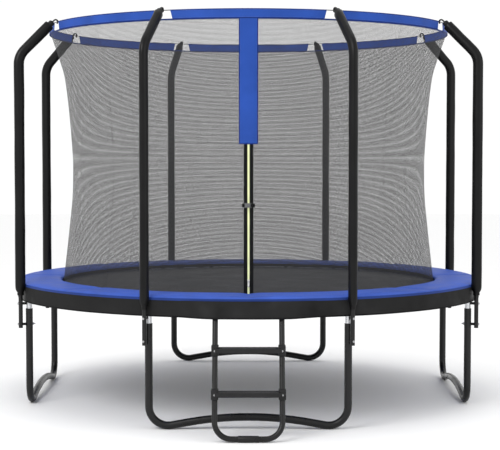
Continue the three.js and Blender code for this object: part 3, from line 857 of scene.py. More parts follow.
def buildSprings():
    pitchTurn = 360 / springs["count"]
    turns = [(index + 0.5) * pitchTurn for index in range(springs["count"])]

    # V-ring: a wire triangle sewn under the hem, with its point outwards
    inner = mat["radius"] - vRing["sewnIn"]
    height = mat["top"] - vRing["drop"]
    tip = inner + vRing["reach"] + 0.006
    corners = [(inner, -vRing["half"], height), (tip, 0, height), (inner, vRing["half"], height)]
    bars = []
    for first, second in zip(corners, corners[1:] + corners[:1]):
        bars.append(barrel("v bar", vRing["wire"], first, second, 6, 0.0))
    shape = joinPieces(bars, "v ring")
    rings = repeatShape(shape, [outwards(turn) for turn in turns], "v_rings")
    finishPiece(rings, "zinc", "mat")

    # coil with a hook at each end
    length = springs["outer"] - springs["inner"]
    steps = springs["turns"] * springs["stepsPerTurn"]
    centre = Vector((springs["inner"], 0, springs["height"]))
    path = []
    for step in range(steps + 1):
        angle = 2 * pi * step / springs["stepsPerTurn"]
        across = Vector((length * step / steps, springs["coil"] * cos(angle), springs["coil"] * sin(angle)))
        path.append(centre + across)
    hookIn = []
    for back in (3, 1):
        turn = back * 0.8
        y, z = springs["coil"] * cos(turn), springs["coil"] * sin(turn) - 0.001
        hookIn.append(centre + Vector((-0.004 - 0.003 * back, y, z)))
    shank = springs["outer"]
    hookOut = [Vector((shank + x, 0, springs["height"] + z)) for x, z in springs["hook"]]
    path = hookIn + path + hookOut
    curve = bpy.data.curves.new("spring wire", "CURVE")
    curve.dimensions = "3D"
    spline = curve.splines.new("POLY")
    spline.points.add(len(path) - 1)
    for point, place in zip(spline.points, path):
        point.co = (*place, 1)
    curve.bevel_depth = springs["wire"]
    curve.bevel_resolution = 0
    wire = bpy.data.objects.new("spring wire", curve)
    bpy.context.collection.objects.link(wire)
    pick(wire)
    bpy.ops.object.convert(target="MESH")
    coil = bpy.context.object
    startEdit(coil)
    bpy.ops.mesh.fill_holes(sides=0)
    endEdit()
    coils = repeatShape(coil, [outwards(turn) for turn in turns], "coil_springs")
    finishPiece(coils, "zinc", None, ("spring_set",), angle=60)
    reach = shank - springs["inner"]
    setBlend(coils, "root", "mat", (0, -shank, 0), (0, -springs["inner"], 0),
             lambda place: min(max((shank - hypot(place.x, place.y)) / reach, 0.0), 1.0))


buildMat()
buildSprings()
print("mat and springs made")

# safety pad: foam ring in a sewn cover, with a side band, tie-down straps and a hanging skirt
padLow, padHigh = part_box("safety_pad")
pad = {"inner": 1.243, "outer": 1.525, "bottom": padLow[2], "top": padHigh[2], "crown": 0.003,
       "corner": 0.007, "seams": 8, "seamWidth": 0.010, "seamDip": 0.0035, "seamPull": 0.0015,
       "uneven": 0.0016, "steps": 288}
padSwell = {"pressure": 4.0, "frames": 20, "most": 0.005, "seamHold": 0.012, "stiffness": 12}
padStitch = {"size": (0.0012, 0.0045, 0.0008), "count": 36, "pitch": 0.0073, "inset": 0.012, "aside": 0.0085}
sideBand = {"radius": 1.5262, "low": 0.7535, "high": 0.7675, "thick": 0.001}
skirt = {"radius": 1.5255, "top": 0.7545, "bottom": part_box("pad_skirt")[0][2], "thick": 0.0012,
         "pushTop": 0.009, "pushBottom": 0.054, "full": 9.0, "none": 15.0, "hem": 0.009, "hemExtra": 0.0016,
         "railAside": 0.188, "railBump": 0.006, "railSpread": 1.6, "wave": 0.0022,
         "pleat": 0.0012, "pleats": 16}
straps = {"count": 16, "width": 0.022, "thick": 0.0014, "gap": 0.0008, "clip": (0.030, 0.016, 0.008)}


def seamAway(angle):
    # how far, in degrees, an angle is from the nearest sewn seam
    step = 360 / pad["seams"]
    return abs((angle + step / 2) % step - step / 2)


def swellUp(piece, heldTest):
    # cloth under gentle pressure, pinned where heldTest is true, with every move kept small
    before = [vertex.co.copy() for vertex in piece.data.vertices]
    held = piece.vertex_groups.new(name="held")
    held.add([index for index, spot in enumerate(before) if heldTest(spot)], 1.0, "REPLACE")
    pick(piece)
    bpy.ops.object.modifier_add(type="CLOTH")
    cloth = piece.modifiers[-1]
    cloth.settings.vertex_group_mass = "held"
    cloth.settings.use_pressure = True
    cloth.settings.uniform_pressure_force = padSwell["pressure"]
    cloth.settings.effector_weights.gravity = 0
    cloth.settings.tension_stiffness = padSwell["stiffness"]
    cloth.point_cache.frame_end = padSwell["frames"]
    for frame in range(1, padSwell["frames"] + 1):
        bpy.context.scene.frame_set(frame)
    bpy.ops.object.modifier_apply(modifier=cloth.name)
    bpy.context.scene.frame_set(1)
    piece.vertex_groups.remove(piece.vertex_groups["held"])
    for vertex, spot in zip(piece.data.vertices, before):
        move = vertex.co - spot
        if move.length > padSwell["most"]:
            vertex.co = spot + move * (padSwell["most"] / move.length)


def buildPad():
    middle = (pad["inner"] + pad["outer"]) / 2
    half = (pad["outer"] - pad["inner"]) / 2
    thick = pad["top"] - pad["bottom"]
    place = (0, -middle, pad["bottom"] + thick / 2)
    bpy.ops.object.select_all(action="DESELECT")
    bpy.ops.mesh.primitive_plane_add(size=1, location=place, rotation=(0, radians(90), 0))
    cover = bpy.context.object
    cover.scale = (thick, 2 * half, 1)
    holdPlace()
    startEdit(cover)
    bpy.ops.mesh.delete(type="ONLY_FACE")
    bpy.ops.mesh.select_all(action="SELECT")
    bpy.ops.mesh.bevel(offset=pad["corner"], segments=4, affect="VERTICES")
    bpy.ops.mesh.select_all(action="SELECT")
    bpy.ops.mesh.edge_face_add()
    bpy.ops.mesh.delete(type="ONLY_FACE")
    bpy.ops.mesh.select_all(action="DESELECT")
    endEdit()
    for edge in cover.data.edges:
        first, second = (cover.data.vertices[index].co for index in edge.vertices)
        edge.select = (first - second).length > half
    bpy.ops.object.mode_set(mode="EDIT")
    bpy.ops.mesh.subdivide(number_cuts=13)
    bpy.ops.mesh.select_all(action="SELECT")
    bpy.ops.mesh.spin(steps=pad["steps"], angle=2 * pi, center=(0, 0, 0), axis=(0, 0, 1))
    bpy.ops.mesh.select_all(action="SELECT")
    endEdit()
    cleanFaces(cover)
    level = place[2]
    for vertex in cover.data.vertices:
        x, y, z = vertex.co
        radius = hypot(x, y)
        angle = degrees(atan2(x, -y))
        share = (radius - middle) / half
        seam = max(1 - seamAway(angle) * radians(1) * radius / pad["seamWidth"], 0.0)
        swell = pad["crown"] * (1 - share ** 4) - pad["seamDip"] * smoothStep(seam)
        swell += pad["uneven"] * noise.noise(Vector((x * 2.4, y * 2.4, 0.3)))
        if z > level:
            vertex.co.z += swell
        pulled = pad["seamPull"] * smoothStep(seam) * (1 if share > 0 else -1)
        vertex.co.x -= pulled * sin(radians(angle))
        vertex.co.y += pulled * cos(radians(angle))
    cover.name = "pad_cover"
    seamHold = padSwell["seamHold"]

    def heldDown(spot):
        away = seamAway(degrees(atan2(spot.x, -spot.y))) * radians(1) * middle
        return spot.z < level or away < seamHold

    swellUp(cover, heldDown)
    aroundUV(cover, middle)
    finishPiece(cover, "padCover", nodes=("safety_pad",), angle=50)

    stitchUp = block("pad stitch", padStitch["size"], (0, 0, 0), 0.0003, 1)
    places = []
    for index in range(pad["seams"]):
        turn = index * 360 / pad["seams"]
        for side in (-1, 1):
            for step in range(padStitch["count"]):
                radius = pad["inner"] + padStitch["inset"] + step * padStitch["pitch"]
                share = (radius - middle) / half
                height = pad["top"] + pad["crown"] * (1 - share ** 4) - 0.001
                aside = turnAbout(turn) @ Vector((side * padStitch["aside"], 0, 0))
                spot = polar(turn, radius, height) + aside
                places.append(Matrix.Translation(spot) @ turnAbout(turn))
    threads = repeatShape(stitchUp, places, "pad_seam_stitches")
    finishPiece(threads, "blueThread", angle=0)


def buildSideBand():
    tall = sideBand["high"] - sideBand["low"]

    def bandAt(u, v):
        return polar(360 * u, sideBand["radius"], sideBand["low"] + v * tall)

    cloth = bentSheet("pad_side_band", 192, 2, bandAt, sideBand["thick"])
    finishPiece(cloth, "padEdge")


def skirtPush(angle, share):
    # how far the ladder holds the skirt out, from nothing at its top to most at its hem
    away = abs(angle)
    fade = (skirt["none"] - away) / (skirt["none"] - skirt["full"])
    fade = min(max(fade, 0.0), 1.0)
    railAngle = degrees(atan2(skirt["railAside"], skirt["radius"]))
    bump = skirt["railBump"] * max(1 - abs(away - railAngle) / skirt["railSpread"], 0.0)
    push = skirt["pushTop"] + (skirt["pushBottom"] - skirt["pushTop"]) * share
    return fade * push + bump * share


def skirtPlace(angle, height):
    share = (skirt["top"] - height) / (skirt["top"] - skirt["bottom"])
    wave = skirt["wave"] * share * (1 + noise.noise(Vector((angle * 0.22, height * 3, 1.7))))
    wave += skirt["pleat"] * share * (1 + sin(radians(angle * skirt["pleats"])))
    radius = skirt["radius"] + skirtPush(angle, share) + wave
    return polar(angle, radius, height)


def skirtWeight(place):
    angle = degrees(atan2(place.x, -place.y))
    share = (skirt["top"] - place.z) / (skirt["top"] - skirt["bottom"])
    fade = (skirt["none"] - abs(angle)) / (skirt["none"] - skirt["full"])
    return smoothStep(fade) * min(max(share * 1.15, 0.0), 1.0)


def buildSkirt():
    tall = skirt["top"] - skirt["bottom"]

    def clothAt(u, v):
        return skirtPlace(-180 + 360 * u, skirt["bottom"] + v * tall)

    cloth = bentSheet("pad_skirt_cloth", 288, 8, clothAt, skirt["thick"])

    def hemAt(u, v):
        place = skirtPlace(-180 + 360 * u, skirt["bottom"] - 0.0006 + v * skirt["hem"])
        out = Vector((place.x, place.y, 0)).normalized()
        return place + out * 0.0004

    hem = bentSheet("pad_skirt_hem", 288, 2, hemAt, skirt["thick"] + skirt["hemExtra"])
    finishPiece(cloth, "skirtCloth", None, ("pad_skirt",), angle=60)
    finishPiece(hem, "blackHem", None, angle=60)
    for piece in (cloth, hem):
        setBlend(piece, "root", "ladder", (0, 0, skirt["top"]), (0, 0, skirt["bottom"]), skirtWeight)


def buildStraps():
    # elastic loops that hold the pad down to the frame ring, with a plastic clip on each
    bands, clips = [], []
    reach = ring["radius"] + straps["gap"]
    top = pad["bottom"] - 0.001
    run = ("line", top - ring["height"])
    start = (0, -ring["circle"] - reach, top)
    size = (straps["width"], straps["thick"])
    low = (0, -ring["circle"], ring["height"] - reach - 0.002)
    for index in range(straps["count"]):
        place = turnAbout((index + 0.5) * 360 / straps["count"])
        moves = [run, ("bend", reach, 180, (1, 0, 0), 12), run]
        loop = sweepSection("strap", size, start, (0, 0, -1), moves, 0.0, 4)
        loop.data.transform(place)
        bands.append(loop)
        clip = block("clip", straps["clip"], low, 0.002)
        clip.data.transform(place)
        clips.append(clip)
    finishPiece(joinPieces(bands, "pad_straps"), "blackWebbing")
    finishPiece(joinPieces(clips, "pad_strap_clips"), "hookPlastic")


buildPad()
buildSideBand()
buildSkirt()
buildStraps()
print("pad and skirt made")

# enclosure net: five panels, drawn in at the waist and straight at the door
net = {"low": 0.742, "high": 2.3695, "spread": 24.0, "lift": 1.1, "columnTurn": 2.5, "rows": 44,
       "ripple": 0.0020,
       # height and radius of the drawn-in shape
       "waist": [(0.742, 1.234), (0.848, 1.222), (1.134, 1.190), (1.345, 1.171), (1.608, 1.172),
                 (2.079, 1.216), (2.240, 1.262), (2.368, 1.306)]}
door = {"lowRadius": 1.235, "topHeight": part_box("front_strip")[0][2], "topRadius": 1.196}
netHem = {"low": 0.022, "high": 0.004, "seam": 0.004, "thick": 0.0012}
band = {"inner": 1.312, "outer": 1.316, "low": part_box("top_band")[0][2], "high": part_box("top_band")[1][2],
        "gapTop": 0.104, "gapLow": 0.134, "binding": 0.0055, "cord": 0.0024, "proud": 0.0006,
        "stitchHalf": 19.3, "stitchIn": 0.002}
sewing = {"size": (0.0040, 0.0007, 0.0009), "pitch": 0.006, "proud": 0.0003}
ties = {"count": 56, "wire": 0.0016, "bead": 0.0035}


def netRadius(height):
    # smooth curve through the waist's heights
    rows = net["waist"]
    height = min(max(height, rows[0][0]), rows[-1][0])
    index = next(row for row in range(len(rows) - 1) if height <= rows[row + 1][0])

    def slopeAt(row):
        before, after = rows[max(row - 1, 0)], rows[min(row + 1, len(rows) - 1)]
        return (after[1] - before[1]) / (after[0] - before[0])

    (low, lowRadius), (high, highRadius) = rows[index], rows[index + 1]
    gap = high - low
    t = (height - low) / gap
    rise = t * t * (3 - 2 * t)
    leave = slopeAt(index) * gap * (t ** 3 - 2 * t * t + t)
    arrive = slopeAt(index + 1) * gap * (t ** 3 - t * t)
    return lowRadius + (highRadius - lowRadius) * rise + leave + arrive


def doorRadius(height):
    share = (height - net["low"]) / (door["topHeight"] - net["low"])
    straight = door["lowRadius"] + (door["topRadius"] - door["lowRadius"]) * share
    if height <= door["topHeight"]:
        return straight
    above = (height - door["topHeight"]) / (band["low"] - door["topHeight"])
    return netRadius(height) + (straight - netRadius(height)) * (1 - smoothStep(above / 0.5))


def panelRadius(angle, height):
    away = abs((angle + 180) % 360 - 180)
    share = 1 - smoothStep(away / net["spread"])
    radius = netRadius(height) + (doorRadius(height) - netRadius(height)) * share
    ripple = net["ripple"] * noise.noise(Vector((angle * 0.11, height * 2.2, 5.1)))
    return radius + ripple * (1 - share) * sin(pi * (height - net["low"]) / (net["high"] - net["low"]))


def netSheet(name, fromTurn, toTurn, low, high, columns, rows, thick=0.0, off=0.0):
    def clothAt(u, v):
        angle = fromTurn + u * (toTurn - fromTurn)
        height = low + v * (high - low)
        return polar(angle, panelRadius(angle, height) + off, height)

    return bentSheet(name, columns, rows, clothAt, thick)


def hangOnMat(piece):
    setBlend(piece, "root", "mat", (0, 0, net["lift"]), (0, 0, net["low"]))


def buildNet():
    panels = (("net_front_right", 0, 45), ("net_right", 45, 135), ("net_back", 135, 225),
              ("net_left", 225, 315), ("net_front_left", 315, 360))
    for name, fromTurn, toTurn in panels:
        columns = int((toTurn - fromTurn) / net["columnTurn"])
        panel = netSheet(f"{name}_mesh", fromTurn, toTurn, net["low"], net["high"], columns, net["rows"])

        def hemAt(u, v, fromTurn=fromTurn, toTurn=toTurn):
            # the net's top edge, turned up behind the band's lower edge
            angle = fromTurn + u * (toTurn - fromTurn)
            edge = polar(angle, panelRadius(angle, net["high"]), net["high"] - netHem["high"])
            return edge.lerp(polar(angle, band["inner"] - 0.001, band["low"] + netHem["high"]), v)

        lowHem = netSheet(f"{name}_low_hem", fromTurn, toTurn, net["low"] - 0.0005,
                          net["low"] + netHem["low"], columns, 2, netHem["thick"])
        highHem = bentSheet(f"{name}_top_hem", columns, 2, hemAt, netHem["thick"])
        widthTurn = degrees(netHem["seam"] / 2 / net["waist"][3][1])
        seam = netSheet(f"{name}_seam", toTurn - widthTurn, toTurn + widthTurn, net["low"], net["high"], 2,
                        net["rows"], off=0.0006)
        finishPiece(panel, "net", None, (name,), angle=80)
        for piece, look in ((lowHem, "netHem"), (highHem, "bandEdge"), (seam, "net")):
            finishPiece(piece, look, None)
        for piece in (panel, lowHem, seam):
            hangOnMat(piece)
        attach(highHem, "root")


def buildTies():
    # elastic ties from the net's hem to the mat's edge, under the pad
    inner = door["lowRadius"] + 0.001
    height = net["low"] + 0.004
    matEnd = (mat["radius"] - 0.02, 0, mat["top"] + 0.0016)
    cord = barrel("tie", ties["wire"], (inner, 0, height), matEnd, 6, 0.0)
    bead = barrel("tie bead", ties["bead"], (inner - 0.003, 0, height), (inner + 0.004, 0, height), 8, 0.0008)
    step = 360 / ties["count"]
    places = [outwards(index * step) for index in range(ties["count"])]
    cords = repeatShape(joinPieces([cord, bead], "tie"), places, "net_ties")
    finishPiece(cords, "hookPlastic", "mat")


def bandSegment(name, centre, low, high, thick, rows=3):
    # one stretch of the band between two poles, with slanted ends
    middle = (band["inner"] + band["outer"]) / 2

    def clothAt(u, v):
        height = low + v * (high - low)
        share = (height - band["low"]) / (band["high"] - band["low"])
        gap = (band["gapLow"] + (band["gapTop"] - band["gapLow"]) * share) / 2
        half = halfStep - degrees(gap / middle)
        return polar(centre + (2 * u - 1) * half, middle, height)

    return bentSheet(name, 18, rows, clothAt, thick)


def stitchRow(name, pathAt, length):
    # a row of blue stitches; pathAt(share) gives a point and the outward angle there
    count = int(length / sewing["pitch"])
    stitch = block("stitch", sewing["size"], (0, 0, 0), 0.0002, 1)
    places = []
    for index in range(count):
        place, turn = pathAt((index + 0.5) / count)
        places.append(Matrix.Translation(place) @ turnAbout(turn))
    row = repeatShape(stitch, places, name)
    return finishPiece(row, "blueThread", angle=0)


def buildBand():
    middle = (band["inner"] + band["outer"]) / 2
    thick = band["outer"] - band["inner"]
    low, high, edge, proud = band["low"], band["high"], band["binding"], band["proud"]
    for index in range(poleCount):
        number = index + 1
        centre = poleStep * index
        body = bandSegment(f"top_band_{number}", centre, low, high, thick, rows=4)
        bound = thick + 2 * proud
        lowEdge = bandSegment(f"top_band_low_binding_{number}", centre, low - proud, low + edge, bound)
        highEdge = bandSegment(f"top_band_high_binding_{number}", centre, high - edge, high + proud, bound)
        finishPiece(body, "bandCloth", nodes=("top_band",) if index == 0 else ())
        for piece in (lowEdge, highEdge):
            finishPiece(piece, "bandEdge")
        stitchIn = edge + band["stitchIn"]
        for label, height in (("low", low + stitchIn), ("high", high - stitchIn)):
            def pathAt(share, height=height, centre=centre):
                turn = centre + (2 * share - 1) * band["stitchHalf"]
                return polar(turn, band["outer"] + sewing["proud"], height), turn
            stitchRow(f"top_band_{label}_stitches_{number}", pathAt,
                                    radians(2 * band["stitchHalf"]) * middle)
    # the cord that the band hangs on, held all the way round
    bpy.ops.object.select_all(action="DESELECT")
    bpy.ops.mesh.primitive_torus_add(location=(0, 0, band["high"] - 0.002), major_radius=middle,
                                     minor_radius=band["cord"], major_segments=256, minor_segments=8)
    cord = bpy.context.object
    cord.name = "top_band_cord"
    holdPlace()
    finishPiece(cord, "blackWebbing")


buildNet()
buildTies()
buildBand()
print("net and top band made")

# door: blue strip, zip, and the buckle across
strip = {"width": 0.112, "thick": 0.002, "stand": 0.008, "binding": 0.007, "low": door["topHeight"],
         "lap": 0.006, "stitchIn": 0.002}
zipper = {"width": 0.056, "thick": 0.0018, "gap": 0.0013, "line": 0.0112, "lineThick": 0.0007, "pitch": 0.005,
          "tooth": (0.0034, 0.0016, 0.0026)}
slider = {"height": 0.840, "out": 0.0068, "size": (0.015, 0.005, 0.030), "taper": 0.9,
          "bridge": (0.006, 0.0012), "bridgeTop": 0.0125, "bridgeBend": 0.0022, "bridgeRun": 0.0085}
pull = {"out": 0.0047, "up": 0.006, "wire": 0.0011, "aside": 0.0046, "reach": 0.0105, "drop": 0.0225,
        "tab": (0.0108, 0.0020, 0.0270), "inset": (0.0018, -0.0004)}
buckle = {"height": 1.288, "out": 0.0223, "thick": 0.011, "tall": 0.027, "socket": 0.025, "plug": 0.017,
          "split": 0.003, "sewn": 0.0385, "knee": 0.0345, "wall": 0.0024, "rail": 0.0025, "bar": 0.0017,
          "ear": 0.0030, "barAway": 0.007, "prong": (0.0026, 0.0036), "prongUp": 0.0078,
          "tongue": (0.016, 0.0034, 0.0036), "webbing": 0.0016, "loop": 0.0065}
doorLean = atan2(door["lowRadius"] - door["topRadius"], door["topHeight"] - net["low"])


def onDoor(height, out=0.0, across=0.0):
    # frame of the door's outer face at a height: X right, Y inwards, Z up along the face
    place = Vector((across, -doorRadius(height) - out * cos(doorLean), height))
    return Matrix.Translation(place) @ Matrix.Rotation(-doorLean, 4, "X")


def doorSheet(name, width, low, high, off, thick, rows=24, columns=4, across=0.0):
    def clothAt(u, v):
        height = low + v * (high - low)
        x = across + (u - 0.5) * width
        return Vector((x, -sqrt((doorRadius(height) + off) ** 2 - x * x), height))

    return bentSheet(name, columns, rows, clothAt, thick)


def buildStrip():
    low, high, stand = strip["low"], band["low"] + strip["lap"], strip["stand"]
    cloth = doorSheet("front_strip_cloth", strip["width"], low, high, stand, strip["thick"])
    edges, rows = [], []
    half = strip["width"] / 2
    for label, side in (("left", -1), ("right", 1)):
        across = side * (half - strip["binding"] / 2)
        edges.append(doorSheet(f"front_strip_{label}_binding", strip["binding"], low, high, stand,
                               strip["thick"] + 0.001, across=across, columns=1))
        x = side * (half - strip["binding"] - strip["stitchIn"])

        def pathAt(share, x=x):
            height = low + share * (high - low)
            return Vector((x, -doorRadius(height) - stand - strip["thick"] / 2 - sewing["proud"], height)), 0

        rows.append(stitchRow(f"front_strip_{label}_stitches", pathAt, high - low))
    edges.append(doorSheet("front_strip_hem", strip["width"], low - 0.0005, low + strip["binding"], stand,
                           strip["thick"] + 0.0012, rows=1))
    finishPiece(cloth, "bandCloth", nodes=("front_strip",))
    for piece in edges:
        finishPiece(piece, "bandEdge")


def buildZip():
    low, high = net["low"] + 0.002, door["topHeight"] + 0.004
    face = zipper["gap"] + zipper["thick"]
    tape = doorSheet("zip_tape_cloth", zipper["width"], low, high, zipper["gap"] + zipper["thick"] / 2,
                     zipper["thick"], rows=30)
    line = doorSheet("zip_pale_line", zipper["line"], low, high, face + 0.0003, zipper["lineThick"], rows=30,
                     columns=2)
    tooth = block("tooth", zipper["tooth"], (0, 0, 0), 0.0005, 1)
    places = []
    for index in range(int((high - low) / zipper["pitch"])):
        for side in (-1, 1):
            height = low + (index + 0.25 + 0.25 * side) * zipper["pitch"] + 0.001
            places.append(onDoor(height, face + 0.0008, side * zipper["tooth"][0] * 0.42))
    teeth = repeatShape(tooth, places, "zip_teeth")
    finishPiece(tape, "blackWebbing", None, ("zip_tape",))
    finishPiece(line, "paleLine", None)
    finishPiece(teeth, "zipTeeth", None, angle=0)
    for piece in (tape, line, teeth):
        hangOnMat(piece)


def buildSlider():
    width, thick, tall = slider["size"]
    place = onDoor(slider["height"], slider["out"])
    body = block("slider", (width, thick, tall), (0, 0, 0), 0.0016, 3)
    for vertex in body.data.vertices:  # narrower at its tail
        if vertex.co.z < 0:
            vertex.co.x *= 1 + slider["taper"] * vertex.co.z / tall
    foot = ("line", 0.0026)
    bend = ("bend", slider["bridgeBend"], 90, (1, 0, 0), 5)
    start = (0, -thick / 2 + 0.001, slider["bridgeTop"])
    moves = [foot, bend, ("line", slider["bridgeRun"]), bend, foot]
    bridge = sweepSection("bridge", slider["bridge"], start, (0, -1, 0), moves, 0.0, 4, 0.0003)
    piece = joinPieces([body, bridge], "zip_slider_body")
    piece.data.transform(place)
    finishPiece(piece, "zipMetal", "slider", ("zip_slider",))

    hinge = place @ Matrix.Translation((0, -pull["out"], pull["up"]))
    bars = []
    for x in (-pull["aside"], pull["aside"]):
        bars.append(barrel("pull side", pull["wire"], (x, 0, 0), (x, 0, -pull["reach"]), 8, 0.0))
    bars.append(barrel("pull pin", pull["wire"], (-0.0050, 0, 0), (0.0050, 0, 0), 8, 0.0))
    tab = block("pull tab", pull["tab"], (0, 0, -pull["drop"]), 0.0009, 3)
    insetFaces(tab, lambda face: abs(face.normal.y) > 0.99, *pull["inset"])
    tabPiece = joinPieces(bars + [tab], "zip_pull_tab")
    tabPiece.data.transform(hinge)
    finishPiece(tabPiece, "zipMetal", "pull", ("zip_pull",))


def strapBars(label, barX, earX, earSize, barUp, earUp):
    # the upright bar that a strap goes round, between two ears
    bars = [barrel(f"{label} bar", buckle["bar"], (barX, 0, -barUp), (barX, 0, barUp), 12, 0.0004)]
    size = (earSize, 0.006, buckle["ear"])
    bars += [block(f"{label} ear", size, (earX, 0, side * earUp), 0.0010, 3) for side in (-1, 1)]
    return bars


def buildBuckle():
    thick, tall = buckle["thick"], buckle["tall"]
    place = onDoor(buckle["height"], buckle["out"])
    barUp, earUp = tall / 2 - 0.002, tall / 2 - buckle["ear"] / 2

    # socket: a hollow box open to the right, with a strap bar
    width = buckle["socket"]
    centre = buckle["split"] - width / 2
    back = centre - width / 2
    wall, edge, inside = buckle["wall"], buckle["rail"], thick - 0.001
    walls = [block("socket wall", (width, wall, tall), (centre, side * (thick - wall) / 2, 0), 0.0008, 3)
             for side in (-1, 1)]
    walls += [block("socket rail", (width, inside, edge), (centre, 0, side * (tall - edge) / 2), 0.0008, 3)
              for side in (-1, 1)]
    walls.append(block("socket end", (0.006, inside, tall), (back + 0.003, 0, 0), 0.0012, 3))
    walls += strapBars("socket", back - buckle["barAway"], back - 0.003, 0.010, barUp, earUp)
    socket = joinPieces(walls, "buckle_socket_body")
    socket.data.transform(place)
    finishPiece(socket, "buckleGrey", nodes=("buckle_socket",))

    # plug: body, two sprung prongs and a guide tongue
    width = buckle["plug"]
    left = buckle["split"] + 0.0005
    plugBar = left + width - 0.001
    bars = [block("plug body", (0.008, thick, tall), (left + 0.004, 0, 0), 0.0018, 3)]
    for side in (-1, 1):
        moves = [("line", 0.008), ("bend", 0.022, 16, (0, -side, 0), 4), ("line", 0.002)]
        start = (left + 0.001, 0, side * buckle["prongUp"])
        bars.append(sweepSection("prong", buckle["prong"], start, (-1, 0, 0), moves, 0.0, 4, 0.0005))
    bars.append(block("tongue", buckle["tongue"], (left - 0.0075, 0, 0), 0.0008, 2))
    bars += strapBars("plug", plugBar, left + width - 0.006, 0.012, barUp, earUp)
    plug = joinPieces(bars, "buckle_plug_body")
    plug.data.transform(place)
    finishPiece(plug, "buckleGrey", "plug", ("buckle_plug",))

    # webbing from the net on each side, round the buckle's bars
    out, cloth = buckle["out"], buckle["webbing"]
    for label, side, bar in (("left", -1, buckle["split"] - buckle["socket"] - buckle["barAway"]),
                             ("right", 1, plugBar)):
        sewn = side * buckle["sewn"]
        knee = side * buckle["knee"]

        def routeAt(share, bar=bar, sewn=sewn, knee=knee):
            # runs from the sewn end, lifts off the net, and reaches the bar
            if share < 0.4:
                return Vector((sewn + (knee - sewn) * share / 0.4, -cloth, 0))
            t = (share - 0.4) / 0.6
            return Vector((knee + (bar - knee) * t, -cloth - (out - cloth) * smoothStep(t), 0))

        def clothAt(u, v):
            spot = routeAt(u)
            height = buckle["height"] + (v - 0.5) * (tall - 0.004)
            return Vector((spot.x, -sqrt(doorRadius(height) ** 2 - spot.x ** 2) + spot.y, height))

        webbing = bentSheet(f"buckle_strap_{label}", 20, 3, clothAt, cloth)
        loopBand = block("strap loop", (0.007, buckle["loop"], tall - 0.0045), (bar, 0, 0), 0.0024, 3)
        loopBand.data.transform(place)
        loopBand.name = f"buckle_strap_loop_{label}"
        finishPiece(webbing, "blackWebbing", None)
        if side > 0:
            finishPiece(loopBand, "blackWebbing", "plug")
            setBlend(webbing, "root", "plug", (knee, 0, 0), (bar, 0, 0))
        else:
            finishPiece(loopBand, "blackWebbing")
            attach(webbing, "root")


buildStrip()
buildZip()
buildSlider()
buildBuckle()
print("door, zip and buckle made")

# ladder, built upright and then leant against the frame ring
rail = {"radius": 0.016, "wall": 0.0015, "spacing": skirt["railAside"], "corner": 0.095, "length": 0.7085}
foot = {"y": -1.775, "z": 0.019}
lean = radians(19.95)
joiner = {"radius": 0.0188, "length": 0.113, "wall": 0.0022, "screw": 0.005, "screwProud": 0.0026}
tread = {"middles": [(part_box(node)[0][2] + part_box(node)[1][2]) / 2 for node in ("step_lower", "step_upper")],
         "depth": 0.09, "thick": 0.026, "bracket": (0.041, 0.070, 0.060), "rimTop": (0.006, -0.0012),
         "hollow": (0.004, -0.018), "rib": (0.003, 0.017), "ribs": (-0.12, -0.06, 0.0, 0.06, 0.12),
         "bolt": 0.0065, "boltProud": 0.0045}
hook = {"inner": 0.0236, "thick": 0.0036, "width": 0.024, "nose": 0.016, "root": 0.045,
        "bead": (0.0135, 0.0022)}
studs = {"pitch": 0.0125, "size": 0.0082, "rise": 0.0013, "sideMargin": 0.075, "frontMargin": 0.022}


def leant():
    return Matrix.Translation((0, foot["y"], foot["z"])) @ Matrix.Rotation(-lean, 4, "X")


def buildRails():
    for label, side in (("left", -1), ("right", 1)):
        start = (side * rail["spacing"], 0, rail["length"])
        moves = [("line", rail["length"] - rail["corner"]), ("bend", rail["corner"], 90, (0, side, 0), 14),
                 ("line", rail["spacing"] - rail["corner"] - 0.0005)]
        tube = sweepSection(f"ladder_rail_{label}_tube", (rail["radius"],) * 2, start, (0, 0, -1), moves,
                            rail["wall"], 24)
        tube.data.transform(leant())
        finishPiece(tube, "powderBlack", "ladder", (f"ladder_rail_{label}",))
    half = joiner["length"] / 2
    sleeve = sweepSection("ladder_joiner", (joiner["radius"],) * 2, (-half, 0, 0), (1, 0, 0),
                          [("line", joiner["length"])], joiner["wall"], 28, 0.0008)
    screws = []
    for side in (-1, 1):
        x = side * half * 0.6
        screws.append(barrel("joiner screw", joiner["screw"], (x, joiner["radius"] - 0.001, 0),
                             (x, joiner["radius"] + joiner["screwProud"], 0), 12, 0.001))
    bolt = joinPieces(screws, "ladder_joiner_screws")
    for piece in (sleeve, bolt):
        piece.data.transform(leant())
    finishPiece(sleeve, "powderBlack", "ladder", ("ladder_sleeve",))
    finishPiece(bolt, "boltSteel", "ladder")


def ringAcrossAlong():
    ringY = -sqrt(ring["circle"] ** 2 - rail["spacing"] ** 2)
    out, up = ringY - foot["y"], ring["height"] - foot["z"]
    return out * cos(lean) - up * sin(lean), out * sin(lean) + up * cos(lean)


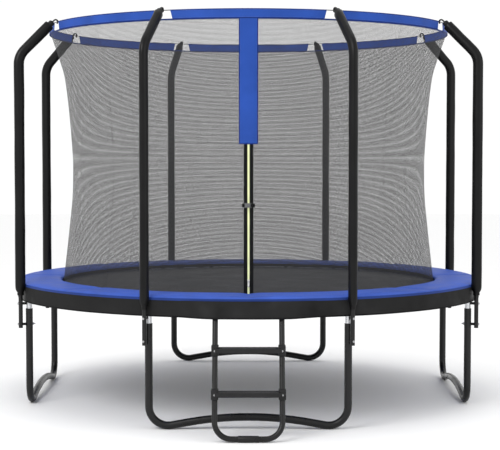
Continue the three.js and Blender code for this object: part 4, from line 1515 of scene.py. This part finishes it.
def buildHooks():
    # flat bar bent over the ring and welded into the rail's top
    across, along = ringAcrossAlong()
    middle = hook["inner"] + hook["thick"] / 2
    for label, side in (("left", -1), ("right", 1)):
        start = (side * rail["spacing"], across - middle, rail["length"] - hook["root"])
        moves = [("line", along - rail["length"] + hook["root"]), ("bend", middle, 180, (-1, 0, 0), 18),
                 ("line", hook["nose"])]
        size = (hook["width"], hook["thick"])
        bar = sweepSection("hook bar", size, start, (0, 0, 1), moves, 0.0, 4, 0.0008)
        bpy.ops.object.select_all(action="DESELECT")
        bpy.ops.mesh.primitive_torus_add(location=(side * rail["spacing"], 0, rail["length"]),
                                         major_radius=hook["bead"][0], minor_radius=hook["bead"][1],
                                         major_segments=28, minor_segments=8)
        bead = bpy.context.object
        holdPlace()
        piece = joinPieces([bar, bead], f"ladder_hook_{label}_bar")
        piece.data.transform(leant())
        finishPiece(piece, "powderBlack", "ladder", (f"ladder_hook_{label}",))


def buildTreads():
    for label, height in zip(("lower", "upper"), tread["middles"]):
        middle = leant() @ Vector((0, 0, (height - foot["z"]) / cos(lean)))
        half = rail["spacing"]
        board = block(f"tread {label}", (2 * half, tread["depth"], tread["thick"]), (0, 0, 0), 0.004, 4)
        insetFaces(board, lambda face: face.normal.z > 0.99, *tread["rimTop"])
        insetFaces(board, lambda face: face.normal.z < -0.99, *tread["hollow"])
        board.data.transform(Matrix.Translation(middle))
        ribSize = (tread["rib"][0], tread["depth"] - 0.010, tread["rib"][1])
        ribs = [block("rib", ribSize, middle + Vector((x, 0, -0.003)), 0.0006, 1) for x in tread["ribs"]]
        ends, screws = [], []
        for side in (-1, 1):
            clamp = middle + Vector((side * half, 0, 0))
            ends.append(block("tread end", tread["bracket"], clamp, 0.007, 4))
            faceAt = tread["bracket"][1] / 2
            for way in (-1, 1):
                inside = clamp + Vector((0, way * (faceAt - 0.001), 0))
                outside = clamp + Vector((0, way * (faceAt + tread["boltProud"]), 0))
                screws.append(barrel("tread bolt", tread["bolt"], inside, outside, 12, 0.0016))
        board = joinPieces([board] + ribs + ends, f"ladder_step_{label}")
        finishPiece(board, "treadPlastic", "ladder", (f"step_{label}",))
        heads = joinPieces(screws, f"ladder_step_{label}_bolts")
        finishPiece(heads, "boltSteel", "ladder")
        size = (studs["size"], studs["size"], 2 * studs["rise"])
        stud = block("stud", size, (0, 0, 0), studs["rise"] * 0.8, 1)
        stud.data.transform(turnAbout(45))
        columns = int((2 * half - studs["sideMargin"]) / studs["pitch"])
        rows = int((tread["depth"] - studs["frontMargin"]) / studs["pitch"] * 2)
        places = []
        for row in range(rows + 1):
            for column in range(columns + row % 2):
                x = (column - (columns - 1 + row % 2) / 2) * studs["pitch"]
                y = (row - rows / 2) * studs["pitch"] / 2
                places.append(Matrix.Translation(middle + Vector((x, y, tread["thick"] / 2 - 0.0012))))
        # the studs take the lighter grip colour, a painted highlight on the tread's top
        grip = repeatShape(stud, places, f"ladder_step_{label}_grip")
        finishPiece(grip, "gripPlastic", "ladder", angle=0)


buildRails()
buildHooks()
buildTreads()
print("ladder made")
